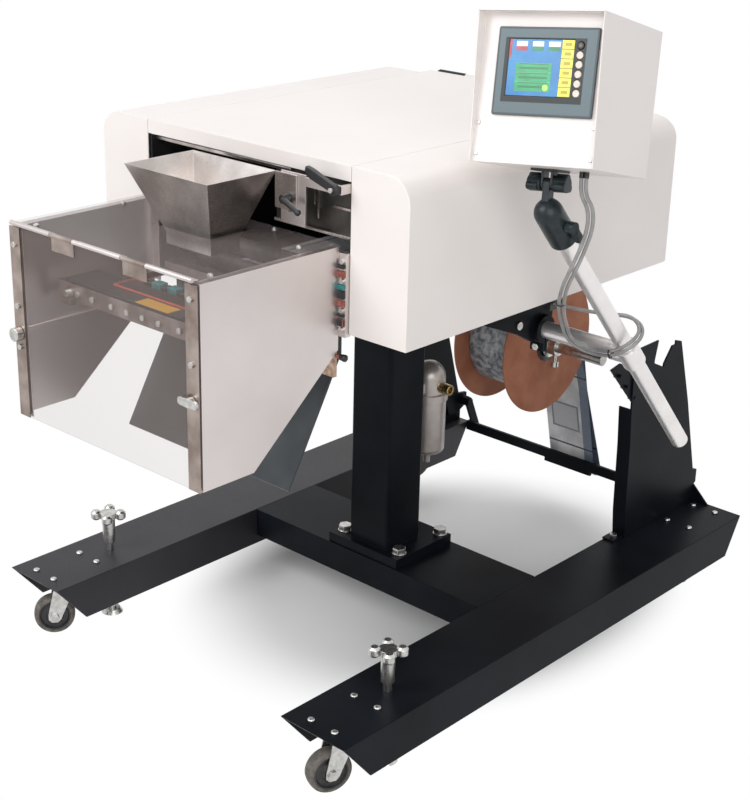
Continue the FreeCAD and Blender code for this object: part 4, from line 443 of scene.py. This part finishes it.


# Bay fittings: a brown-grey liner behind the funnel with bright folded rails, and a bright bar
# close under the lid's lip between the two bulkheads, which is a painted highlight along the lip's fold.
liner_steel = finish("liner_steel", (0.030, 0.027, 0.024), (0.075, 0.068, 0.062), 0.05, (0.3, 0.42),
                     metal=0.5)
bright_rails_and_painted_highlight = finish("bright_rails_and_painted_highlight", (0.36, 0.31, 0.29), (0.62, 0.58, 0.56), 0.04, (0.2, 0.32), metal=1.0)
bm = bmesh.new()
bar_of(bm, (60, -345, 905), (242.5, -343.5, 996))
# The bar along the lid's lip, third in this list, is a painted highlight in the rails' bright steel.
for low, high in (((58, -349, 902), (242.5, -344, 907)), ((150, -347, 946), (153, -345, 996)),
                  ((-242.5, -352, 992), (100, -345, 998)), ((196, -352, 950), (243, -347, 954)),
                  ((160, -349, 925), (163, -345, 990))):
    bar_of(bm, low, high, 0.0008, 1)
liner = shown("bay_liner", smooth_mesh("bay_liner", bm), "stand", liner_steel)
liner.data.materials.append(bright_rails_and_painted_highlight)


# Guard: stainless side plates with folded edges, a clear top and a hinged clear front.
# The clear sheets are smoke-tinted and polished at the edges, with small dome bolts.
def clear_sheet(name, tint, thin, thick):
    """Clear plastic: nearly see-through face on, and glossier and fuller at a slant."""
    material = finish(name, tint, [min(1.0, c * 1.2) for c in tint], 0.25, (0.03, 0.06), relief=0.0)
    nodes, links = material.node_tree.nodes, material.node_tree.links
    slant = nodes.new("ShaderNodeLayerWeight")
    slant.inputs["Blend"].default_value = 0.3
    cover = nodes.new("ShaderNodeMapRange")
    cover.inputs["To Min"].default_value = thin
    cover.inputs["To Max"].default_value = thick
    links.new(slant.outputs["Facing"], cover.inputs["Value"])
    links.new(cover.outputs["Result"], nodes["Principled BSDF"].inputs["Alpha"])
    return material


pane_clear = clear_sheet("clear_front", (0.34, 0.27, 0.25), 0.06, 0.34)
top_clear = clear_sheet("clear_top", (0.34, 0.29, 0.28), 0.035, 0.3)
tan_cast = finish("tan_casting", (0.26, 0.17, 0.12), (0.58, 0.40, 0.29), 0.012, (0.45, 0.6), grain=500,
                  relief=0.25)
dress("guard_sides", "stand", stainless, edge=0.0005)
dress("guard_top", "stand", top_clear, edge=0.0005)
# The front's side strips are the same stainless as the side plates, with shade painted into a darker, browner
# copy of it.
painted_shade_strip_steel = finish("painted_shade_strip_steel", (0.26, 0.205, 0.18), (0.44, 0.37, 0.335), 0.05, (0.26, 0.4), metal=1.0)
dress("guard_front", "guard_front", painted_shade_strip_steel, edge=0.0004,
      patches=[(pane_clear, lambda p: p.y > -676.3 and p.z < 895.5),
               (zinc, lambda p: p.y < -678.3 and abs(abs(p.x) - 219.5) < 6)])
dress("guard_fittings", "stand", stainless, edge=0.0004,
      patches=[(zinc, lambda p: p.z > 900.1 and p.y > -670 or (abs(p.x) > 234 and p.y < -372.3)),
               (tan_cast, lambda p: p.x > 190 and p.y > -372.5 and p.z < 748)])
for side in ("near", "far"):
    node = "guard_knob_" + side
    knob = cast(node + "_cast", node, node, zinc, lambda p: True, 0.0006)
    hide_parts(node)

# Connectors on the near mounting strip: small red, teal and black plastic bodies between its
# bolts, and a black release knob on the end block below them.
faded_red = finish("faded_red", (0.20, 0.045, 0.035), (0.38, 0.12, 0.095), 0.006, (0.35, 0.5))
teal_plastic = finish("teal_plastic", (0.0, 0.13, 0.14), (0.01, 0.23, 0.23), 0.01, (0.3, 0.42))
bm = bmesh.new()
# Each block's top and bottom in millimetres, and its colour: red, teal or black.
blocks = ((868, 861, 2), (857, 846, 0), (834, 826, 1), (824, 810, 2), (807, 796, 0), (784, 779, 2),
          (776, 763, 0))
for high, low, index in blocks:
    bar_of(bm, (229, -376.5, low), (246, -371.5, high), 0.0009, index)
count = len(bm.faces)
release_knob = ((-2, 0), (-2, 5.2), (3, 5.6), (6, 6.2), (9, 6.0), (10.5, 4.4), (11, 0))
turned(bm, release_knob, Vector((0.2355, -0.366, 0.706)), (1, 0, 0), 24, closed=False)
coat_since(bm, count, 2)
bar_of(bm, (222, -369, 703), (236, -364, 709), 0.0008)
bmesh.ops.remove_doubles(bm, verts=bm.verts, dist=weld)
bmesh.ops.recalc_face_normals(bm, faces=bm.faces)
connectors = shown("strip_connectors", smooth_mesh("strip_connectors", bm), "stand", faded_red)
connectors.data.materials.append(teal_plastic)
connectors.data.materials.append(black_plastic)

# Sealing jaw and bar: a stainless pressure bar with cap screws and rods, a dark plate with a
# bare yellow label, and a clear shield with a red edge. Teal and black valves sit behind the shield.
jaw_steel = finish("jaw_steel", (0.16, 0.13, 0.12), (0.34, 0.29, 0.27), 0.05, (0.28, 0.4), metal=1.0)
jaw_dark = finish("dark_plate", (0.010, 0.015, 0.018), (0.020, 0.027, 0.032), 0.04, (0.3, 0.45), shine=0.3)
laid(jaw_dark, (35, -588, 798), (41, 14, 3), (0.62, 0.33, 0.02))
shield_clear = clear_sheet("clear_shield", (0.30, 0.26, 0.25), 0.05, 0.3)
edge_red = finish("red_edge", (0.56, 0.09, 0.06), (0.66, 0.15, 0.11), 0.01, (0.3, 0.45))
dress("seal_jaw", "seal_jaw", jaw_steel, edge=0.0004,
      patches=[(jaw_dark, lambda p: 793.9 < p.z < 798.1 and p.y > -602.1 and p.y < -533.9),
               (shield_clear, lambda p: p.z > 798.05),
               (edge_red, lambda p: 798.1 < p.z < 801.9),
               (zinc, lambda p: p.y < -606.5)])
dress("seal_bar", "stand", jaw_steel, edge=0.0005)
bm = bmesh.new()
for x0, x1, index in ((-56, -40, 1), (-37, -14, 0), (-11, 0, 1), (3, 26, 0), (29, 42, 1), (44, 60, 0)):
    bar_of(bm, (x0, -541, 801.5), (x1, -523, 809 if index else 812), 0.0012, index)
valves = shown("jaw_valves", smooth_mesh("jaw_valves", bm), "seal_jaw", teal_plastic)
valves.data.materials.append(black_plastic)
chute_dark = finish("dark_chute", (0.022, 0.029, 0.034), (0.050, 0.055, 0.062), 0.12, (0.3, 0.45), metal=0.4)
dress("chute", "stand", chute_dark, edge=0.0005)

# Funnel: folded and welded stainless with a straight neck, clamped to a slotted bracket.
# Two black levers lock it: a toggle on the bracket's arm and a clamp on the funnel's ear.
funnel_steel = finish("funnel_steel", (0.46, 0.42, 0.40), (0.66, 0.62, 0.60), 0.07, (0.22, 0.34), metal=1.0,
                      grain=1400, relief=0.03)
dress("funnel", "funnel", funnel_steel, edge=0.0004)
dress("funnel_bracket", "stand", stainless, edge=0.0004)
dress("funnel_toggle", "funnel_toggle", black_plastic, edge=0.0018)
dress("funnel_clamp", "funnel_clamp", black_plastic, edge=0.0007,
      patches=[(zinc, lambda p: p.y > -388.5)])

# Bag roll: wound flat film between two board flanges on a steel spindle under the head.
# The wound edges show fine layers, and the board is raw brown with a fibrous face.
board = finish("brown_board", (0.36, 0.125, 0.062), (0.46, 0.18, 0.10), 0.05, (0.6, 0.78))
wound_edge = finish("wound_edge", (0.12, 0.14, 0.18), (0.52, 0.54, 0.56), 0.011, (0.3, 0.5), grain=700)
roll_middle = Vector((0, 0.452, 0.487))


def off_spindle(p):
    """Distance of a point from the spindle's axis, in millimetres."""
    return math.hypot(p.y - roll_middle.y * 1000, p.z - roll_middle.z * 1000)


dress("roll_hanger", "stand", black_enamel, edge=0.0006,
      patches=[(zinc, lambda p: p.x > 76.5 or (p.x > -87.5 and off_spindle(p) < 13.5))])
dress("bag_roll_flanges", "bag_roll", board, edge=0.0006,
      patches=[(black_plastic, lambda p: off_spindle(p) < 13 or (off_spindle(p) < 37.9 and abs(p.x) > 67.1))])
bm = bmesh.new()
layers = 18
core_radius = 38.0
wound_depth = 70.0
wound_half = 60.3
outline = []
for side in (-1, 1):
    rows = range(layers + 1) if side < 0 else range(layers, -1, -1)
    for row in rows:
        step = 0.5 * math.sin(row * 2.4) + 0.3 * math.sin(row * 5.1)
        outline.append((side * (wound_half + step), core_radius + wound_depth * row / layers))
turned(bm, outline, roll_middle, (1, 0, 0), 96)
bmesh.ops.remove_doubles(bm, verts=bm.verts, dist=weld)
bmesh.ops.recalc_face_normals(bm, faces=bm.faces)
wound = shown("bag_roll_wound", smooth_mesh("wound", bm), "bag_roll", wound_edge)
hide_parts("bag_roll_film")

# Film strip: flat tube of white and blue-grey film from the roll, down round the dancer's roller,
# up to the infeed roller and in to the nip. Each bag has a dark sealed line and a blue margin.
film_path = ((0.55417, 0.52439), (0.5912, 0.4234), (0.6281, 0.3224), (0.6651, 0.2214), (0.70202, 0.1204),
             (0.70272, 0.11454), (0.70072, 0.109), (0.69644, 0.10494), (0.6908, 0.10322), (0.68499, 0.10422),
             (0.68024, 0.10772), (0.67756, 0.11297), (0.6363, 0.2825), (0.595, 0.452), (0.5537, 0.6215),
             (0.51244, 0.79103), (0.50993, 0.79608), (0.5055, 0.79956), (0.5, 0.8008), (0.2965, 0.8008),
             (0.093, 0.8008), (-0.1105, 0.8008), (-0.314, 0.8008))
film_half = 0.061
film = finish("bag_film", (0.42, 0.43, 0.46), (0.74, 0.73, 0.73), 0.06, (0.16, 0.3), grain=200, relief=0.15)
laid(film, (50, 0, 0), (13, 1e4, 1e4), (0.17, 0.21, 0.28))
laid(film, (-8, 0, 245), (38, 1e4, 34), (0.22, 0.24, 0.29), pitch=(0, 0, 190))
laid(film, (-8, 0, 245), (33, 1e4, 29), (0.50, 0.50, 0.53), pitch=(0, 0, 190))
laid(film, (0, 0, 170), (1e4, 1e4, 2.2), (0.025, 0.027, 0.032), pitch=(0, 0, 190))
bm = bmesh.new()
edge = bm.edges.new([bm.verts.new((side * film_half, *film_path[0])) for side in (-1, 1)])
for before, after in zip(film_path, film_path[1:]):
    made = bmesh.ops.extrude_edge_only(bm, edges=[edge])["geom"]
    edge = next(item for item in made if isinstance(item, bmesh.types.BMEdge))
    shift = (0, after[0] - before[0], after[1] - before[1])
    bmesh.ops.translate(bm, verts=list(edge.verts), vec=shift)
long_side = 0.09
runs = [e for e in bm.edges if e.calc_length() > long_side and abs(e.verts[0].co.x - e.verts[1].co.x) < weld]
bmesh.ops.subdivide_edges(bm, edges=runs, cuts=5, use_grid_fill=True)
rungs = [e for e in bm.edges if abs(e.verts[0].co.x - e.verts[1].co.x) > film_half]
bmesh.ops.subdivide_edges(bm, edges=rungs, cuts=7, use_grid_fill=True)
bmesh.ops.recalc_face_normals(bm, faces=bm.faces)
strip = bpy.data.objects.new("film_strip", smooth_mesh("film_strip", bm))
scene.collection.objects.link(strip)
strip.data.materials.append(film)
gauge = strip.modifiers.new("gauge", "SOLIDIFY")
gauge.thickness = 0.0002
gauge.offset = 0.0
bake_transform(strip)
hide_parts("film_web")

# Dancer: black side arms, cross bar and flat rail with a loose aluminium roller, and the infeed
# roller above it.
aluminium = finish("satin_aluminium", (0.60, 0.575, 0.56), (0.70, 0.68, 0.665), 0.03, (0.28, 0.42), metal=1.0,
                   grain=1500, relief=0.03)
dress("dancer_frame", "dancer", black_enamel, edge=0.0008)
dress("dancer_roller", "dancer_roller", aluminium, edge=0.0008)
dress("infeed_roller", "infeed_roller", aluminium, edge=0.0008)

# Arm and mast: a black bracket with a split clamp, and satin aluminium tubes that slide and turn.
# The mast's head is a black casting with a lever knob.
mast_aluminium = finish("mast_aluminium", (0.80, 0.775, 0.765), (0.88, 0.855, 0.845), 0.08, (0.34, 0.46),
                        metal=0.85, grain=1500, relief=0.02)
clamp_black = finish("clamp_black", (0.009, 0.015, 0.018), (0.020, 0.030, 0.034), 0.02, (0.26, 0.4),
                     grain=1200, shine=0.3)
dress("arm_bracket", "stand", black_enamel, edge=0.001,
      patches=[(zinc, lambda p: p.z < 631 and p.y < 97.5 and math.hypot(p.x - 293, p.z - 626) < 9),
               (zinc, lambda p: p.x > 297.2 and abs(p.y - 35) < 9 and abs(p.z - 682) < 9)])
dress("arm", "arm", mast_aluminium, edge=0.0008)
dress("mast", "mast", mast_aluminium, edge=0.0008)
dress("mast_head", "mast_head", clamp_black, edge=0.001)
dress("mast_knob", "mast_knob", clamp_black, edge=0.001)
for side in ("near", "far"):
    node = "tilt_knob_" + side
    dress(node, node, clamp_black, edge=0.0015)

# Operator box: folded steel in the head's white enamel, with a hood and a grey moulded bezel.
# Its front sheet is set back under the hood, and six round keys, five beige and one dark, stand beside the
# screen.
across = Vector((0.98506, 0.15019, 0.08430))
up = Vector((-0.11898, 0.23950, 0.96358))
into = up.cross(across)
box_frame = Matrix((across, into, up)).transposed().to_4x4()
box_frame.translation = (0.497951, -0.237960, 1.173038)
to_box = box_frame.inverted()
bezel_grey = finish("bezel_grey", (0.085, 0.125, 0.142), (0.115, 0.16, 0.178), 0.05, (0.32, 0.44), grain=1600,
                    relief=0.08)
laid(bezel_grey, (9, 17, 25), (86, 50, 67.5), (0.05, 0.066, 0.075), box_frame)
laid(bezel_grey, (9, 17, 25), (81.5, 50, 63), (0.105, 0.15, 0.168), box_frame)
laid(bezel_grey, (6, 17, 27), (68.5, 50, 48.5), (0.006, 0.011, 0.013), box_frame)
key_beige = finish("key_beige", (0.66, 0.56, 0.47), (0.80, 0.71, 0.62), 0.004, (0.35, 0.5), grain=1800)
key_dark = finish("key_dark", (0.008, 0.010, 0.011), (0.014, 0.016, 0.018), 0.004, (0.3, 0.45))
laid(key_dark, (65, 17, 65), (2.2, 9, 2.2), (0.17, 0.13, 0.11), box_frame)


def in_box(p):
    """Point in the box's own frame, in millimetres: across, into, up."""
    return to_box @ (p / 1000) * 1000


def on_bezel(p):
    q = in_box(p)
    return 16.5 < q.y < 21.6 and abs(q.x - 9) < 85.6 and -42 < q.z < 92


def on_screws(p):
    q = in_box(p)
    return 19.8 < q.y < 21.9 and abs(abs(q.x) - 98.5) < 3.6


dress("panel_box", "panel", white_enamel, edge=0.0009,
      patches=[(bezel_grey, on_bezel),
               (black_plastic, lambda p: in_box(p).z < -114.9),
               (zinc, on_screws)])
for number in range(1, 7):
    node = "panel_key_%d" % number
    dress(node, node, key_beige if number > 1 else key_dark, edge=0.001)

# Screen: a lit display behind clear plastic. It shows a plain layout of coloured fields, rows and
# cells with no words, and a row of three small state tiles at its top.
screen_blue = finish("screen_blue", (0.0, 0.15, 0.42), (0.005, 0.22, 0.52), 0.05, (0.14, 0.2), relief=0.0)
screen_green = finish("screen_green", (0.0, 0.29, 0.10), (0.005, 0.38, 0.15), 0.02, (0.14, 0.2), relief=0.0)
laid(screen_green, (-11, 17, 30), (25, 9, 1.7), (0.0, 0.17, 0.05), box_frame, (0, 0, 7.0))
laid(screen_green, (-11, 17, 23.5), (32, 9, 0.5), (0.10, 0.47, 0.25), box_frame, (0, 0, 14.0))
screen_yellow = finish("screen_yellow", (0.74, 0.70, 0.03), (0.90, 0.86, 0.10), 0.02, (0.14, 0.2), relief=0.0)
laid(screen_yellow, (43.9, 17, 66.5), (5.5, 9, 2.4), (0.42, 0.33, 0.01), box_frame, (0, 0, 14.1))
laid(screen_yellow, (43.9, 17, 59.4), (30, 9, 0.6), (0.15, 0.13, 0.01), box_frame, (0, 0, 14.1))
screen_white = finish("screen_white", (0.80, 0.82, 0.84), (0.86, 0.87, 0.88), 0.02, (0.14, 0.2), relief=0.0)
screen_red = finish("screen_red", (0.36, 0.015, 0.03), (0.50, 0.03, 0.05), 0.02, (0.14, 0.2), relief=0.0)
screen_leaf = finish("screen_leaf", (0.0, 0.16, 0.07), (0.0, 0.24, 0.10), 0.02, (0.14, 0.2), relief=0.0)
screen_lime = finish("screen_lime", (0.34, 0.72, 0.08), (0.50, 0.86, 0.14), 0.01, (0.14, 0.2), relief=0.0)
screen_coats = (screen_blue, screen_green, screen_yellow, screen_white, screen_red, screen_leaf, screen_lime)
# Each field's left, right, bottom, top and depth in the box's frame, and the number of its coat.
fields = ((-55.8, 33.0, -11.8, 73.3, 18.40, 0), (33.4, 54.3, -11.8, 73.3, 18.40, 2),
          (-41.5, 19.5, -4.5, 37.5, 18.25, 1), (-55.6, -51.5, 46.0, 73.0, 18.25, 4),
          (-44.0, -25.0, 62.5, 70.0, 18.25, 3), (-44.0, -25.0, 56.0, 62.5, 18.25, 4),
          (-16.5, 2.5, 62.5, 70.0, 18.25, 3), (-16.5, 2.5, 56.0, 62.5, 18.25, 5),
          (11.0, 30.5, 62.5, 70.0, 18.25, 3), (11.0, 30.5, 56.0, 62.5, 18.25, 5))
bm = bmesh.new()
stood = Matrix.Rotation(math.radians(90), 4, "X")
for x0, x1, z0, z1, depth, index in fields:
    spot = Matrix.Translation(((x0 + x1) / 2000, depth / 1000, (z0 + z1) / 2000))
    fit = Matrix.Diagonal(((x1 - x0) / 1000, (z1 - z0) / 1000, 1, 1))
    count = len(bm.faces)
    bmesh.ops.create_grid(bm, x_segments=1, y_segments=1, size=0.5, matrix=box_frame @ spot @ stood @ fit)
    coat_since(bm, count, index)
count = len(bm.faces)
dot = Matrix.Translation((0.0115, 0.01810, 0.0012))
bmesh.ops.create_circle(bm, cap_ends=True, segments=32, radius=0.0048, matrix=box_frame @ dot @ stood)
coat_since(bm, count, screen_coats.index(screen_lime))
screen = shown("panel_screen", smooth_mesh("panel_screen", bm), "panel", screen_coats[0])
for coat in screen_coats[1:]:
    screen.data.materials.append(coat)

# Air filter: a cast head with brass-nutted ports over a smooth warm-grey metal bowl, on a lug
# from the column.
bowl_grey = finish("bowl_grey", (0.36, 0.32, 0.30), (0.47, 0.43, 0.405), 0.05, (0.3, 0.42), metal=0.6)
brass = finish("brass", (0.50, 0.36, 0.16), (0.68, 0.52, 0.27), 0.01, (0.2, 0.35), metal=1.0)
dress("air_filter", "stand", bowl_grey, edge=0.0008,
      patches=[(brass, lambda p: abs(p.x - 12) > 34 and 452 < p.z < 482)])

# Floor, lamps and air: a pale floor that whitens away from the machine, a large soft lamp in front
# on the far side, a fill on the near side and one above. White air shows behind and in reflections.
def seen_rays(nodes, links):
    """Socket that is one for rays from the camera, and for those off glossy and through clear pieces."""
    rays = nodes.new("ShaderNodeLightPath")
    seen = rays.outputs["Is Camera Ray"]
    for kind in ("Is Glossy Ray", "Is Transmission Ray"):
        either = nodes.new("ShaderNodeMath")
        either.operation = "MAXIMUM"
        links.new(seen, either.inputs[0])
        links.new(rays.outputs[kind], either.inputs[1])
        seen = either.outputs["Value"]
    return seen


floor_pale = finish("pale_floor", (0.86, 0.86, 0.86), (0.88, 0.88, 0.88), 0.6, (0.6, 0.7), relief=0.0)
nodes, links = floor_pale.node_tree.nodes, floor_pale.node_tree.links
seen = seen_rays(nodes, links)
# Distance from the shadow's middle, as a share of the shadow's half length and half width.
place = nodes.new("ShaderNodeTexCoord")
shadow = nodes.new("ShaderNodeVectorMath")
shadow.operation = "MULTIPLY_ADD"
shadow.inputs[1].default_value = (2.0, 1.6, 0)
shadow.inputs[2].default_value = (0, -0.32, 0)
links.new(place.outputs["Object"], shadow.inputs[0])
reach = nodes.new("ShaderNodeVectorMath")
reach.operation = "LENGTH"
links.new(shadow.outputs["Vector"], reach.inputs[0])
fade = nodes.new("ShaderNodeMapRange")
fade.interpolation_type = "SMOOTHSTEP"
fade.inputs["From Min"].default_value = 0.62
fade.inputs["From Max"].default_value = 1.02
fade.inputs["To Min"].default_value = 0.05
fade.inputs["To Max"].default_value = 1.0
links.new(reach.outputs["Value"], fade.inputs["Value"])
share = nodes.new("ShaderNodeMath")
share.operation = "MULTIPLY"
links.new(seen, share.inputs[0])
links.new(fade.outputs["Result"], share.inputs[1])
white = nodes.new("ShaderNodeEmission")
white.inputs["Color"].default_value = (1, 1, 1, 1)
white.inputs["Strength"].default_value = 1.0
both = nodes.new("ShaderNodeMixShader")
links.new(share.outputs["Value"], both.inputs["Fac"])
links.new(nodes["Principled BSDF"].outputs["BSDF"], both.inputs[1])
links.new(white.outputs["Emission"], both.inputs[2])
links.new(both.outputs["Shader"], nodes["Material Output"].inputs["Surface"])
bm = bmesh.new()
bmesh.ops.create_grid(bm, x_segments=1, y_segments=1, size=14)
floor = bpy.data.objects.new("floor", smooth_mesh("floor", bm))
floor.data.materials.append(floor_pale)
scene.collection.objects.link(floor)


def soft_lamp(name, place, aim, size, power):
    """Square soft lamp that faces a point."""
    lamp = bpy.data.objects.new(name, bpy.data.lights.new(name, "AREA"))
    lamp.data.size = size
    lamp.data.energy = power
    lamp.location = place
    lamp.rotation_euler = (Vector(aim) - Vector(place)).to_track_quat("-Z", "Y").to_euler()
    scene.collection.objects.link(lamp)


soft_lamp("key_lamp", (-1.2, -3.2, 3.2), (0, 0, 0.7), 2.4, 95)
soft_lamp("side_lamp", (2.7, -2.2, 2.1), (0, 0, 0.7), 2.4, 50)
soft_lamp("top_lamp", (0.3, 0.6, 3.8), (0, 0, 0.6), 2.6, 36)
world = bpy.data.worlds.new("white air")
scene.world = world
world.use_nodes = True
nodes, links = world.node_tree.nodes, world.node_tree.links
air = nodes["Background"]
air.inputs["Color"].default_value = (1, 1, 1, 1)
seen = seen_rays(nodes, links)
strength = nodes.new("ShaderNodeMapRange")
strength.inputs["To Min"].default_value = 0.4
strength.inputs["To Max"].default_value = 1.0
links.new(seen, strength.inputs["Value"])
links.new(strength.outputs["Result"], air.inputs["Strength"])
scene.view_settings.view_transform = "Standard"
